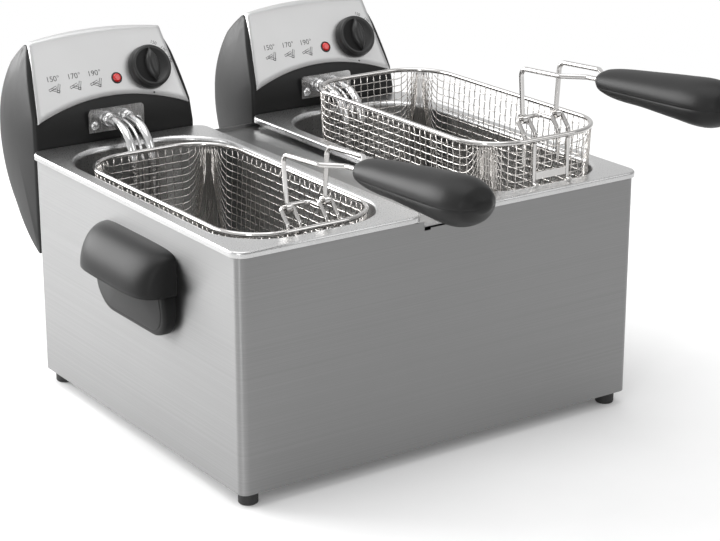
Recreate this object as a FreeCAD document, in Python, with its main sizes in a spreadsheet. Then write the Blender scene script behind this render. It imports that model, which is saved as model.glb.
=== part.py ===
import FreeCAD, Part
import math
import os
import re
import Sketcher

# Double deep fryer. Millimetres, +Z up, +Y to the control heads at the back, +X to the right.
# The origin is on the floor, under the middle of the whole. Pieces are drawn about the middle of the case.

SIZES = {
    # Case
    "case_width": 390.0,
    "case_depth": 338.0,
    "case_height": 197.0,
    "case_wall": 1.0,
    "case_corner": 7.0,
    "bottom_lip": 24.0,
    "foot_height": 12.0,
    "foot_radius": 8.0,
    "foot_inset": 13.0,
    "foot_hole_depth": 8.0,
    "base_sheet": 1.2,
    "base_screw_radius": 2.0,
    "base_screw_bite": 7.0,
    "screw_head_height": 2.2,
    "vent_length": 60.0,
    "vent_width": 5.0,
    "vent_pitch": 14.0,
    "vent_row_pitch": 150.0,
    # Tanks and the strip between them
    "centre_gap": 50.0,
    "flange_overhang": 3.0,
    "flange_corner": 12.0,
    "flange_lip": 5.0,
    "flange_fold": 2.0,
    "tank_sheet": 1.0,
    "opening_side_strip": 13.5,
    "opening_rear_strip": 23.0,
    "opening_corner": 48.0,
    "opening_front_strip": 17.0,
    "opening_roll": 4.0,
    "tank_depth": 150.0,
    "tank_floor_radius": 20.0,
    "bridge_overlap": 9.0,
    "bridge_drop": 8.5,
    "bridge_sheet": 1.2,
    "notch_inset": 1.0,
    "notch_gap": 1.6,
    "notch_ear": 6.0,
    # Side handles
    "handle_length": 120.0,
    "handle_height": 74.0,
    "handle_reach": 32.0,
    "handle_lip_drop": 35.0,
    "handle_wall": 3.0,
    "handle_top_drop": 24.6,
    "handle_middle": -16.5,
    "handle_foot_reach": 8.0,
    "handle_waist_reach": 13.0,
    "handle_end_radius": 20.0,
    "handle_cheek": 9.0,
    "handle_top_round": 10.0,
    "handle_low_round": 24.0,
    "mouth_round": 12.0,
    "insert_thickness": 4.0,
    "handle_screw_radius": 2.0,
    "handle_screw_bite": 3.0,
    "handle_screw_pitch": 70.0,
    # Control heads
    "head_inset": 6.5,
    "head_draw": 13.0,
    "head_gap": 2.5,
    "head_depth": 81.5,
    "head_drop": 94.5,
    "head_foot": 4.0,
    "head_bulge_drop": 3.0,
    "head_side_rise": -5.0,
    "head_kink": 18.0,
    "head_rise": 92.5,
    "head_crown": 6.0,
    "head_lean": 27.0,
    "head_wall": 2.5,
    "head_profile_round": 6.0,
    "head_outline_round": 5.0,
    "head_edge_round": 3.0,
    "cover_inset": 22.0,
    "cover_low": 80.0,
    "cover_high": 66.0,
    "cover_screw_radius": 1.5,
    "cover_screw_x": 36.0,
    "cover_screw_low": 60.0,
    "cover_screw_high": 45.0,
    "cover_boss_radius": 5.0,
    "cover_boss_length": 10.0,
    "gland_radius": 7.0,
    "gland_flange": 10.0,
    "gland_low": 58.0,
    "gland_recess": 11.0,
    "rail_inset": 30.0,
    "rail_neck": 5.0,
    "rail_head": 11.0,
    "rail_head_depth": 2.5,
    "rail_length": 70.0,
    "rail_drop": 10.0,
    # Front plate, knob and lamp
    "fascia_thickness": 1.2,
    "fascia_low_margin": 5.0,
    "fascia_high_margin": 2.0,
    "fascia_bottom": 3.7,
    "fascia_height": 70.0,
    "fascia_arch_radius": 185.0,
    "fascia_crown_radius": 340.0,
    "knob_inset": 37.0,
    "knob_rise": 39.5,
    "knob_radius": 20.0,
    "knob_skirt": 9.0,
    "knob_grip_height": 6.0,
    "knob_grip_length": 31.0,
    "knob_grip_radius": 30.0,
    "knob_gap": 0.6,
    "spindle_radius": 3.0,
    "spindle_top": 9.0,
    "spindle_depth": 9.0,
    "bush_radius": 5.0,
    "thermostat_radius": 13.0,
    "thermostat_depth": 20.0,
    "lamp_offset": 10.0,
    "lamp_rise": 34.5,
    "lamp_radius": 4.0,
    "lamp_dome": 2.0,
    "lamp_stem": 6.0,
    # Heating element and the small parts behind it
    "plate_width": 55.0,
    "plate_height": 21.0,
    "plate_thickness": 1.5,
    "plate_lift": 7.0,
    "plate_corner": 4.0,
    "plate_screw_radius": 2.0,
    "plate_screw_inset": 6.0,
    "plate_screw_bite": 6.0,
    "tube_radius": 4.25,
    "tube_spacing": 18.0,
    "tube_lift": 18.0,
    "tube_reach": 48.0,
    "tube_bend": 34.0,
    "tube_inside": 18.0,
    "tube_foot_bend": 16.0,
    "sensor_radius": 1.5,
    "sensor_lift": 50.0,
    "loop_lift": 36.0,
    "loop_side_gap": 21.0,
    "loop_run_gap": 34.0,
    "loop_front_gap": 13.0,
    "loop_back_gap": 101.0,
    "spread_start_gap": 49.0,
    "spread_end_gap": 87.0,
    "spread_bend": 20.0,
    "cutout_radius": 9.0,
    "cutout_height": 12.0,
    "cutout_x": -30.0,
    "cutout_drop": 10.0,
    "switch_width": 20.0,
    "switch_depth": 8.0,
    "switch_height": 10.0,
    "switch_x": 22.0,
    "switch_drop": 32.0,
    "terminal_width": 38.0,
    "terminal_depth": 14.0,
    "terminal_height": 16.0,
    "terminal_drop": 70.0,
    # Baskets and their handles
    "wire_radius": 2.0,
    "bracket_wire_radius": 1.75,
    "basket_side_gap": 4.0,
    "basket_front_gap": 6.0,
    "basket_back_gap": 27.9,
    "basket_corner": 44.0,
    "basket_rim_drop": 0.4,
    "basket_taper": 5.0,
    "basket_floor_round": 14.0,
    "mesh_thickness": 1.2,
    "mesh_bar": 4.0,
    "mesh_border": 3.0,
    "drain_rise": 38.8,
    "drain_forward": 8.5,
    "hook_tip_gap": 0.8,
    "hook_strip_height": 6.0,
    "hook_strip_thickness": 1.2,
    "leg_spacing": 35.0,
    "leg_splay": 2.7,
    "leg_height": 57.5,
    "leg_forward": 49.0,
    "handle_tilt": 3.5,
    "leg_bend": 7.0,
    "leg_jog": 18.0,
    "jog_bend": 8.0,
    "pivot_height": 15.0,
    "pivot_inset": 10.0,
    "eye_radius": 4.2,
    "eye_width": 4.0,
    "bracket_span": 11.0,
    "bracket_depth": 22.0,
    "bracket_knee": 4.0,
    "knee_bend": 4.0,
    "bracket_bend": 2.4,
    "arch_reach": 17.0,
    "arch_bend": 6.0,
    "grip_wire_spacing": 16.0,
    "grip_wire_end": 124.0,
    "grip_start": 79.0,
    "grip_length": 142.0,
    "grip_width": 43.0,
    "grip_height": 36.0,
    "grip_parting": 5.0,
    # Fits
    "seat_gap": 0.3,
    "running_gap": 0.05,
    "slot_gap": 0.3,
}

doc = FreeCAD.newDocument("DoubleDeepFryer")
sheet = doc.addObject("Spreadsheet::Sheet", "Sizes")
for row, (alias, number) in enumerate(SIZES.items(), start=1):
    sheet.set(f"A{row}", alias)
    sheet.set(f"B{row}", str(number))
    sheet.setAlias(f"B{row}", alias)
doc.recompute()

V = FreeCAD.Vector
AXIS_X = V(1, 0, 0)
AXIS_Y = V(0, 1, 0)
AXIS_Z = V(0, 0, 1)
FAR = 1000.0
sub_parts = []


def cells(expression):
    """An expression with each driving dimension written as a cell of the sheet."""
    return re.sub(r"[a-z_]+", lambda word: f"Sizes.{word[0]}" if word[0] in SIZES else word[0], expression)


def value(expression):
    """The number that an expression over the sheet gives."""
    return float(sheet.evalExpression(cells(expression)))


def bind(thing, prop, expression):
    """Tie a property to an expression over the sheet."""
    thing.setExpression(prop, cells(expression))


# Places that several pieces share

CASE_TOP = "(foot_height + case_height)"
FLANGE_TOP = "(foot_height + case_height + tank_sheet)"
FLANGE_DEPTH = "(case_depth + 2 * flange_overhang)"
FLANGE_WIDTH = "((case_width + 2 * flange_overhang - centre_gap) / 2)"
TANK_PITCH = f"({FLANGE_WIDTH} + centre_gap)"
OPENING_WIDTH = f"({FLANGE_WIDTH} - 2 * opening_side_strip)"
OPENING_LENGTH = f"({FLANGE_DEPTH} - opening_front_strip - opening_rear_strip)"
OPENING_FRONT = f"(opening_front_strip - {FLANGE_DEPTH} / 2)"
OPENING_BACK = f"({FLANGE_DEPTH} / 2 - opening_rear_strip)"
OPENING_MIDDLE = f"(({OPENING_FRONT} + {OPENING_BACK}) / 2)"
BRIDGE_WIDTH = "(centre_gap + 2 * bridge_overlap)"
NOTCH_WIDTH = "(centre_gap - 2 * notch_inset)"
HEAD_WIDTH = f"({FLANGE_WIDTH} - 2 * head_inset)"
HEAD_TOP_WIDTH = f"({HEAD_WIDTH} - 2 * head_draw)"
KNOB_X = f"({HEAD_WIDTH} / 2 - knob_inset)"
RAIL_X = f"({HEAD_WIDTH} / 2 - rail_inset)"
HEAD_FRONT = "(case_depth / 2 + flange_overhang + head_gap)"
HEAD_INSIDE = f"({HEAD_FRONT} + head_wall)"
TUBE_HEIGHT = f"({FLANGE_TOP} + tube_lift)"
LOOP_HEIGHT = f"({FLANGE_TOP} - tank_depth + loop_lift)"
BASKET_WIDTH = f"({OPENING_WIDTH} - 2 * basket_side_gap)"
BASKET_FRONT = f"({OPENING_FRONT} + basket_front_gap)"
BASKET_BACK = f"({OPENING_BACK} - basket_back_gap)"
RIM_HEIGHT = f"({FLANGE_TOP} - basket_rim_drop)"
BRACKET_Y = f"({BASKET_FRONT} + 2 * wire_radius + bracket_wire_radius + running_gap)"
PIVOT_Y = f"({BRACKET_Y} + pivot_inset)"
GRIP_END = f"({PIVOT_Y} - drain_forward - grip_start - grip_length)"
FRAME_SHIFT = f"(- ({HEAD_FRONT} + head_depth + {GRIP_END}) / 2)"
HANDLE_TOP = f"({CASE_TOP} - handle_top_drop)"
TANK_X = {"left": f"(- {TANK_PITCH} / 2)", "right": f"({TANK_PITCH} / 2)"}
DRAIN_Y = {"left": "0", "right": "(- drain_forward)"}
DRAIN_Z = {"left": "0", "right": "drain_rise"}


def add_part(thing, label, x="0", y="0", z="0"):
    """Name a finished sub-part and place it by expressions, drawn about the case and moved into the frame."""
    thing.Label = label
    for axis, expression in (("x", x), ("y", f"{y} + {FRAME_SHIFT}"), ("z", z)):
        bind(thing, f"Placement.Base.{axis}", expression)
    sub_parts.append(thing)


def add_solid(shape, label, x="0", y="0", z="0"):
    """A sub-part whose shape is worked out in this file from the sheet's sizes."""
    feature = doc.addObject("Part::Feature", f"{label}_solid")
    feature.Shape = shape
    add_part(feature, label, x, y, z)


# Sketches and features

def new_body(name):
    body = doc.addObject("PartDesign::Body", f"{name}_body")
    body.AllowCompound = True
    return body


def new_sketch(body, plane, height):
    """An empty sketch on one of the body's origin planes, moved along that plane's normal."""
    sketch = body.newObject("Sketcher::SketchObject", "Sketch")
    support = next(item for item in body.Origin.OriginFeatures if item.Role == plane)
    sketch.AttachmentSupport = [(support, "")]
    sketch.MapMode = "FlatFace"
    bind(sketch, "AttachmentOffset.Base.z", height)
    return sketch


def constrain(sketch, expression, *arguments):
    """Add a constraint whose number follows an expression."""
    index = sketch.addConstraint(Sketcher.Constraint(*arguments, value(expression)))
    bind(sketch, f"Constraints[{index}]", expression)


def arc_middle(start, end, radius, bulge):
    """The middle of an arc from start to end, on the right of the way there if bulge is 1."""
    chord = end - start
    rise = radius - math.sqrt(radius**2 - chord.Length**2 / 4)
    side = V(chord.y, -chord.x, 0).normalize() * rise * bulge
    return (start + end) * 0.5 + side


def add_loop(sketch, points):
    """A closed loop through points given as expressions.

    A third entry is the radius of an arc to the next point, and "inwards" bends that arc into the loop.
    """
    first = sketch.GeometryCount
    corners = [V(value(point[0]), value(point[1]), 0) for point in points]
    starts = []
    for number, point in enumerate(points):
        start, end = corners[number], corners[(number + 1) % len(points)]
        edge = Part.LineSegment(start, end)
        if len(point) > 2:
            bulge = -1 if "inwards" in point else 1
            edge = Part.Arc(start, arc_middle(start, end, value(point[2]), bulge), end)
        index = sketch.addGeometry(edge)
        starts.append(1 if sketch.getPoint(index, 1).distanceToPoint(start) < 1e-6 else 2)
    for number, point in enumerate(points):
        edge, following = first + number, first + (number + 1) % len(points)
        next_start = starts[(number + 1) % len(points)]
        joint = ("Coincident", edge, 3 - starts[number], following, next_start)
        sketch.addConstraint(Sketcher.Constraint(*joint))
        constrain(sketch, point[0], "DistanceX", -1, 1, edge, starts[number])
        constrain(sketch, point[1], "DistanceY", -1, 1, edge, starts[number])
        if len(point) > 2:
            constrain(sketch, point[2], "Radius", edge)


def outline(body, plane, loops, height="0"):
    sketch = new_sketch(body, plane, height)
    for points in loops:
        add_loop(sketch, points)
    return sketch


def rectangles(body, plane, middles, width, depth, height="0"):
    """A sketch of equal rectangles about middle points given as expressions."""
    loops = []
    for x, y in middles:
        left, right = f"{x} - ({width}) / 2", f"{x} + ({width}) / 2"
        low, high = f"{y} - ({depth}) / 2", f"{y} + ({depth}) / 2"
        loops.append([(left, low), (right, low), (right, high), (left, high)])
    return outline(body, plane, loops, height)


def rounded_rectangle(body, width, depth, corner, height="0", y="0"):
    """A sketch of a rounded rectangle on the XY plane, about x = 0."""
    right, inner = f"({width}) / 2", f"(({width}) / 2 - ({corner}))"
    left, inner_left = f"- ({width}) / 2", f"- {inner}"
    low, high = f"{y} - ({depth}) / 2", f"{y} + ({depth}) / 2"
    inner_low, inner_high = f"{low} + ({corner})", f"{high} - ({corner})"
    points = [
        (inner_left, low),
        (inner, low, corner),
        (right, inner_low),
        (right, inner_high, corner),
        (inner, high),
        (inner_left, high, corner),
        (left, inner_high),
        (left, inner_low, corner),
    ]
    return outline(body, "XY_Plane", [points], height)


def circles(body, plane, centres, radius, height="0"):
    """A sketch of equal circles about points given as expressions."""
    sketch = new_sketch(body, plane, height)
    for x, y in centres:
        circle = sketch.addGeometry(Part.Circle(V(value(x), value(y), 0), AXIS_Z, value(radius)))
        constrain(sketch, x, "DistanceX", -1, 1, circle, 3)
        constrain(sketch, y, "DistanceY", -1, 1, circle, 3)
        constrain(sketch, radius, "Radius", circle)
    return sketch


def pad(body, sketch, length, backwards=False, both_ways=False):
    feature = body.newObject("PartDesign::Pad", "Pad")
    feature.Profile = sketch
    bind(feature, "Length", length)
    feature.Reversed = backwards
    feature.Midplane = both_ways
    doc.recompute()
    return feature


def pocket(body, sketch, length, backwards=False, both_ways=False):
    """Cut a sketch's shape out of the body, and make sure that something was cut."""
    before = body.Shape.Volume
    feature = body.newObject("PartDesign::Pocket", "Pocket")
    feature.Profile = sketch
    bind(feature, "Length", length)
    feature.Reversed = backwards
    feature.Midplane = both_ways
    doc.recompute()
    if not body.Shape.Volume < before:
        raise RuntimeError(f"{body.Name}: {feature.Name} cuts nothing")
    return feature


def fillet(body, radius, chosen):
    """Round the edges of the body for which chosen is true."""
    base = body.Tip
    edges = enumerate(base.Shape.Edges, start=1)
    names = [f"Edge{number}" for number, edge in edges if chosen(edge.BoundBox)]
    feature = body.newObject("PartDesign::Fillet", "Fillet")
    feature.Base = (base, names)
    bind(feature, "Radius", radius)
    doc.recompute()


def is_level(box, height):
    """Whether an edge's box lies flat at a height."""
    return max(abs(box.ZMin - height), abs(box.ZMax - height)) < 1e-4


# Shapes made from solids

def block(low, high):
    """A box between two corners."""
    return Part.makeBox(high[0] - low[0], high[1] - low[1], high[2] - low[2], V(*low))


def rod(radius, start, end):
    """A cylinder from one point to another."""
    return Part.makeCylinder(radius, (end - start).Length, start, end - start)


def one_solid(shape):
    """The single solid that a boolean is meant to leave."""
    if len(shape.Solids) != 1:
        raise RuntimeError(f"{len(shape.Solids)} solids in place of one")
    return shape.Solids[0]


def bent_path(points, bends, closed=False):
    """A wire of straight runs joined by tangent arcs. bends gives the radius at each point that turns."""
    count = len(points)
    turning = range(count) if closed else range(1, count - 1)
    edges = []
    here = points[0]
    if closed:
        here = (points[-1] + points[0]) * 0.5
    for number, radius in zip(turning, bends):
        corner = points[number]
        inward = V(corner - points[number - 1]).normalize()
        outward = V(points[(number + 1) % count] - corner).normalize()
        half_turn = inward.getAngle(outward) / 2
        start = corner - inward * radius * math.tan(half_turn)
        end = corner + outward * radius * math.tan(half_turn)
        middle = corner + V(outward - inward).normalize() * radius * (1 / math.cos(half_turn) - 1)
        edges.append(Part.LineSegment(here, start).toShape())
        edges.append(Part.Arc(start, middle, end).toShape())
        here = end
    last = (points[-1] + points[0]) * 0.5 if closed else points[-1]
    edges.append(Part.LineSegment(here, last).toShape())
    return Part.Wire(edges)


def tube(path, radius):
    """A round bar along a wire."""
    first = path.OrderedEdges[0]
    start = first.valueAt(first.FirstParameter)
    ahead = first.tangentAt(first.FirstParameter)
    section = Part.Wire(Part.makeCircle(radius, start, ahead))
    return path.makePipeShell([section], True, False)


def mirrored_points(points):
    """Points followed by their mirror images in x = 0, in reverse order."""
    return points + [V(-point.x, point.y, point.z) for point in reversed(points)]


# Case, base and feet

def foot_places():
    x, y = "(case_width / 2 - foot_inset)", "(case_depth / 2 - foot_inset)"
    return [(f"{a} {x}", f"{b} {y}") for a in ("", "-") for b in ("", "-")]


def handle_screw_places():
    height = f"{HANDLE_TOP} - handle_height / 2"
    return [(f"handle_middle {sign} handle_screw_pitch / 2", height) for sign in "+-"]


def outer_casing():
    body = new_body("outer_casing")
    plan = rounded_rectangle(body, "case_width", "case_depth", "case_corner", "foot_height")
    pad(body, plan, "case_height")
    inner = ("case_width - 2 * case_wall", "case_depth - 2 * case_wall", "case_corner - case_wall")
    pocket(body, rounded_rectangle(body, *inner, CASE_TOP), "case_height - case_wall")
    above_lip = "foot_height + 2 * case_wall"
    hatch = ("case_width - 2 * bottom_lip", "case_depth - 2 * bottom_lip")
    pocket(body, rectangles(body, "XY_Plane", [("0", "0")], *hatch, above_lip), "3 * case_wall")
    hole = "base_screw_radius + slot_gap"
    pocket(body, circles(body, "XY_Plane", foot_places(), hole, above_lip), "3 * case_wall")
    front, back = "- case_depth / 2", "case_depth / 2"
    lip_notch = ("centre_gap + 1.5 * flange_corner", "4 * case_wall", CASE_TOP)
    notches = rectangles(body, "XY_Plane", [("0", front), ("0", back)], *lip_notch)
    pocket(body, notches, "flange_lip - tank_sheet + notch_gap")
    depth = "bridge_drop + bridge_sheet + notch_gap"
    notch = rectangles(body, "XY_Plane", [("0", front)], NOTCH_WIDTH, "4 * case_wall", CASE_TOP)
    pocket(body, notch, depth)
    ears = [(f"{sign} ({NOTCH_WIDTH} - notch_ear) / 2", front) for sign in ("", "-")]
    ear_cuts = rectangles(body, "XY_Plane", ears, "notch_ear", "4 * case_wall", CASE_TOP)
    pocket(body, ear_cuts, f"{depth} + notch_gap")
    holes = circles(body, "YZ_Plane", handle_screw_places(), "handle_screw_radius + slot_gap")
    pocket(body, holes, "2 * case_width", both_ways=True)
    add_part(body, "outer_casing")


def base_plate():
    body = new_body("base_plate")
    inset = "(2 * case_wall + 2 * slot_gap)"
    plan = (f"case_width - {inset}", f"case_depth - {inset}", "case_corner - case_wall")
    pad(body, rounded_rectangle(body, *plan, "foot_height + case_wall"), "base_sheet")
    top = "foot_height + case_wall + base_sheet"
    for x in TANK_X.values():
        for row in ("", "-"):
            vents = [(f"{x} + {step} * vent_pitch", f"{row} vent_row_pitch / 2") for step in range(-2, 3)]
            slots = rectangles(body, "XY_Plane", vents, "vent_width", "vent_length", top)
            pocket(body, slots, "2 * base_sheet")
    holes = circles(body, "XY_Plane", foot_places(), "base_screw_radius + slot_gap", top)
    pocket(body, holes, "2 * base_sheet")
    add_part(body, "base_plate")


def feet():
    body = new_body("feet")
    pad(body, circles(body, "XY_Plane", foot_places(), "foot_radius"), "foot_height")
    hole = circles(body, "XY_Plane", foot_places(), "base_screw_radius + running_gap", "foot_height")
    pocket(body, hole, "foot_hole_depth")
    fillet(body, "foot_radius / 5", lambda box: is_level(box, 0) and box.XLength > value("foot_radius"))
    add_part(body, "feet")


def base_screws():
    body = new_body("base_screws")
    places = foot_places()
    shank = circles(body, "XY_Plane", places, "base_screw_radius", "foot_height - base_screw_bite")
    pad(body, shank, "base_screw_bite + case_wall + base_sheet")
    head = circles(body, "XY_Plane", places, "2 * base_screw_radius", "foot_height + case_wall + base_sheet")
    pad(body, head, "screw_head_height")
    add_part(body, "base_screws")


def centre_bridge():
    """A channel from front to back that carries the inner edges of both tanks."""
    body = new_body("centre_bridge")
    edge, inner = f"{BRIDGE_WIDTH} / 2", f"({BRIDGE_WIDTH} / 2 - bridge_sheet)"
    web = f"{CASE_TOP} - bridge_drop"
    channel = [
        (f"- {edge}", CASE_TOP), (f"- {edge}", f"{web} - bridge_sheet"), (edge, f"{web} - bridge_sheet"),
        (edge, CASE_TOP), (inner, CASE_TOP), (inner, web), (f"- {inner}", web), (f"- {inner}", CASE_TOP),
    ]
    pad(body, outline(body, "XZ_Plane", [channel]), "case_depth - 2 * case_wall", both_ways=True)
    tongue = [("0", "- case_depth / 2 + case_wall")]
    width = f"{NOTCH_WIDTH} - 2 * slot_gap"
    plan = rectangles(body, "XY_Plane", tongue, width, "2 * case_wall", f"{web} - bridge_sheet")
    pad(body, plan, "bridge_sheet")
    add_part(body, "centre_bridge")


def rear_rails():
    """Upright T rails on the back of the case, which the control heads slide down on."""
    body = new_body("rear_rails")
    back, neck_end = "case_depth / 2", f"{HEAD_INSIDE} + slot_gap"
    tip = f"{neck_end} + rail_head_depth"
    loops = []
    for tank in TANK_X.values():
        for sign in "+-":
            x = f"{tank} {sign} {RAIL_X}"
            neck_left, neck_right = f"{x} - rail_neck / 2", f"{x} + rail_neck / 2"
            head_left, head_right = f"{x} - rail_head / 2", f"{x} + rail_head / 2"
            loops.append([
                (neck_left, back), (neck_right, back), (neck_right, neck_end), (head_right, neck_end),
                (head_right, tip), (head_left, tip), (head_left, neck_end), (neck_left, neck_end),
            ])
    plan = outline(body, "XY_Plane", loops, f"{FLANGE_TOP} - rail_drop - rail_length")
    pad(body, plan, "rail_length")
    add_part(body, "rear_rails")


# Side handles

def handle_profile(inset):
    """The curved back of a handle's hood, as an arc from the case wall to the lip."""
    top, reach = value(HANDLE_TOP) - inset, value("handle_reach") - inset
    drop = value("handle_lip_drop") - inset
    slant = math.sqrt(0.5)
    middle = V(reach * slant, 0, top - drop * (1 - slant))
    return Part.Arc(V(0, 0, top), middle, V(reach, 0, top - drop)).toShape()


def handle_plan(inset):
    """A handle seen from above, with round outer corners, as a tall solid."""
    half, reach = value("handle_length") / 2 - inset, value("handle_reach") - inset
    corners = [V(0, -half, 0), V(reach, -half, 0), V(reach, half, 0), V(0, half, 0)]
    radius = value("handle_end_radius") - inset
    wire = bent_path(corners, [radius, radius])
    face = Part.Face(Part.Wire(wire.Edges + [Part.LineSegment(corners[3], corners[0]).toShape()]))
    return face.extrude(AXIS_Z * FAR)


def handle_face():
    """A handle seen from its side, with large rounds below, as a solid across its reach."""
    half, top, low = value("handle_length") / 2, value(HANDLE_TOP), value(f"{HANDLE_TOP} - handle_height")
    corners = [V(0, -half, low), V(0, -half, top), V(0, half, top), V(0, half, low)]
    low_round, top_round = value("handle_low_round"), value("handle_top_round")
    wire = bent_path(corners, [low_round, top_round, top_round, low_round], closed=True)
    return Part.Face(wire).extrude(AXIS_X * FAR)


def handle_cut(edges, half_length):
    """A profile across the handle, closed and drawn out along it."""
    face = Part.Face(Part.Wire(Part.sortEdges(edges)[0]))
    solid = face.extrude(AXIS_Y * 2 * half_length)
    solid.translate(AXIS_Y * -half_length)
    return solid


def line(start, end):
    return Part.LineSegment(start, end).toShape()


def side_handle_shape():
    top, low = value(HANDLE_TOP), value(f"{HANDLE_TOP} - handle_height")
    lip, reach = value(f"{HANDLE_TOP} - handle_lip_drop"), value("handle_reach")
    wall, half = value("handle_wall"), value("handle_length") / 2
    foot = V(value("handle_foot_reach"), 0, low)
    waist = V(value("handle_waist_reach"), 0, (lip + low) / 2)
    cheek = Part.Arc(V(reach, 0, lip), waist, foot).toShape()
    sides = [handle_profile(0), cheek, line(foot, V(0, 0, low)), line(V(0, 0, low), V(0, 0, top))]
    outer = handle_cut(sides, half).common(handle_plan(0)).common(handle_face())
    inner_lip = V(reach - wall, 0, lip)
    hood = [handle_profile(wall), line(inner_lip, V(0, 0, lip)), line(V(0, 0, lip), V(0, 0, top - wall))]
    hollow = handle_cut(hood, half).common(handle_plan(wall))
    side = half - value("handle_cheek")
    mouth = block((0, -side, low - wall), (2 * reach, side, lip))
    corners = [edge for edge in mouth.Edges if is_level(edge.BoundBox, lip) and edge.BoundBox.XLength > reach]
    mouth = mouth.makeFillet(value("mouth_round"), corners)
    seat = block((0, -side, low - wall), (value("insert_thickness + slot_gap"), side, lip))
    return one_solid(outer.cut(hollow).cut(mouth).cut(seat))


def side_handles():
    shape = side_handle_shape()
    add_solid(shape.mirror(V(), AXIS_X), "side_handle_left", "- case_width / 2", "handle_middle")
    add_solid(shape, "side_handle_right", "case_width / 2", "handle_middle")


def handle_inserts():
    """Plates that line the case wall behind the hoods and take the handle screws."""
    for side, sign in (("left", "-"), ("right", "")):
        body = new_body(f"handle_insert_{side}")
        wall = f"{sign} case_width / 2"
        half, round_off = "(handle_length / 2 - handle_cheek - slot_gap)", "(handle_low_round - handle_cheek)"
        low, high = f"({HANDLE_TOP} - handle_height)", f"({HANDLE_TOP} - 3 * handle_wall)"
        front, back = f"handle_middle - {half}", f"handle_middle + {half}"
        points = [
            (f"{front} + {round_off}", low),
            (f"{back} - {round_off}", low, round_off),
            (back, f"{low} + {round_off}"),
            (back, high),
            (front, high),
            (front, f"{low} + {round_off}", round_off),
        ]
        pad(body, outline(body, "YZ_Plane", [points], wall), "insert_thickness", sign == "-")
        hole = "handle_screw_radius + running_gap"
        holes = circles(body, "YZ_Plane", handle_screw_places(), hole, wall)
        pocket(body, holes, "handle_screw_bite", backwards=sign == "")
        add_part(body, f"handle_insert_{side}")


def handle_screws():
    body = new_body("handle_screws")
    for sign in ("-", ""):
        seat = f"{sign} (case_width / 2 - case_wall)"
        places = handle_screw_places()
        shank = circles(body, "YZ_Plane", places, "handle_screw_radius", seat)
        pad(body, shank, "case_wall + handle_screw_bite", sign == "-")
        head = circles(body, "YZ_Plane", places, "2 * handle_screw_radius", seat)
        pad(body, head, "screw_head_height", sign == "")
    add_part(body, "handle_screws")


# Tanks

def at_opening(box):
    """Whether an edge's box is no further out than the sides of a tank's opening."""
    return max(box.XMax, -box.XMin) < value(f"{OPENING_WIDTH} / 2 + 1.5 * tank_sheet")


def tank(side):
    body = new_body(f"tank_{side}")
    flange = (FLANGE_WIDTH, FLANGE_DEPTH, "flange_corner")
    lip = f"{FLANGE_TOP} - flange_lip"
    top = value(FLANGE_TOP)
    pad(body, rounded_rectangle(body, *flange, lip), "flange_lip")
    fillet(body, "flange_fold", lambda box: is_level(box, top))
    two_sheets = "2 * tank_sheet"
    under = (f"{FLANGE_WIDTH} - {two_sheets}", f"{FLANGE_DEPTH} - {two_sheets}", "flange_corner - tank_sheet")
    pocket(body, rounded_rectangle(body, *under, lip), "flange_lip - tank_sheet", backwards=True)
    seat = f"{FLANGE_TOP} - tank_sheet"
    pot_corner = "opening_corner + tank_sheet"
    pot = (f"{OPENING_WIDTH} + {two_sheets}", f"{OPENING_LENGTH} + {two_sheets}", pot_corner)
    pad(body, rounded_rectangle(body, *pot, seat, OPENING_MIDDLE), "tank_depth", backwards=True)
    opening = (OPENING_WIDTH, OPENING_LENGTH, "opening_corner")
    pocket(body, rounded_rectangle(body, *opening, FLANGE_TOP, OPENING_MIDDLE), "tank_depth")
    inner_floor = value(f"{FLANGE_TOP} - tank_depth")
    fillet(body, "tank_floor_radius", lambda box: is_level(box, inner_floor))
    floor = value(f"{FLANGE_TOP} - tank_sheet - tank_depth")
    fillet(body, "tank_floor_radius + tank_sheet", lambda box: is_level(box, floor))
    under_flange = value(seat)
    fillet(body, "opening_roll - tank_sheet", lambda box: is_level(box, under_flange) and at_opening(box))
    fillet(body, "opening_roll", lambda box: is_level(box, top) and at_opening(box))
    add_part(body, f"tank_{side}", TANK_X[side])


def tanks():
    for side in TANK_X:
        tank(side)


# Control heads: the D-shaped block

def rounded(wire, radius):
    """A wire with its outer corners rounded."""
    return wire.makeOffset2D(-radius, 2).makeOffset2D(radius, 0)


def head_profile():
    """A head seen from its side: upright front below, leaning front above, round back."""
    front, flange = value(HEAD_FRONT), value(FLANGE_TOP)
    low, kink, top = flange - value("head_drop"), flange + value("head_kink"), flange + value("head_rise")
    lean = math.radians(value("head_lean"))
    ridge = V(0, front + (top - kink) * math.tan(lean), top)
    bulge = V(0, front + value("head_depth"), flange - value("head_bulge_drop"))
    toe = V(0, front + value("head_foot"), low)
    edges = [
        line(V(0, front, low), V(0, front, kink)),
        line(V(0, front, kink), ridge),
        Part.Arc(ridge, bulge, toe).toShape(),
        line(toe, V(0, front, low)),
    ]
    return rounded(Part.Wire(edges), value("head_profile_round"))


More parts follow.
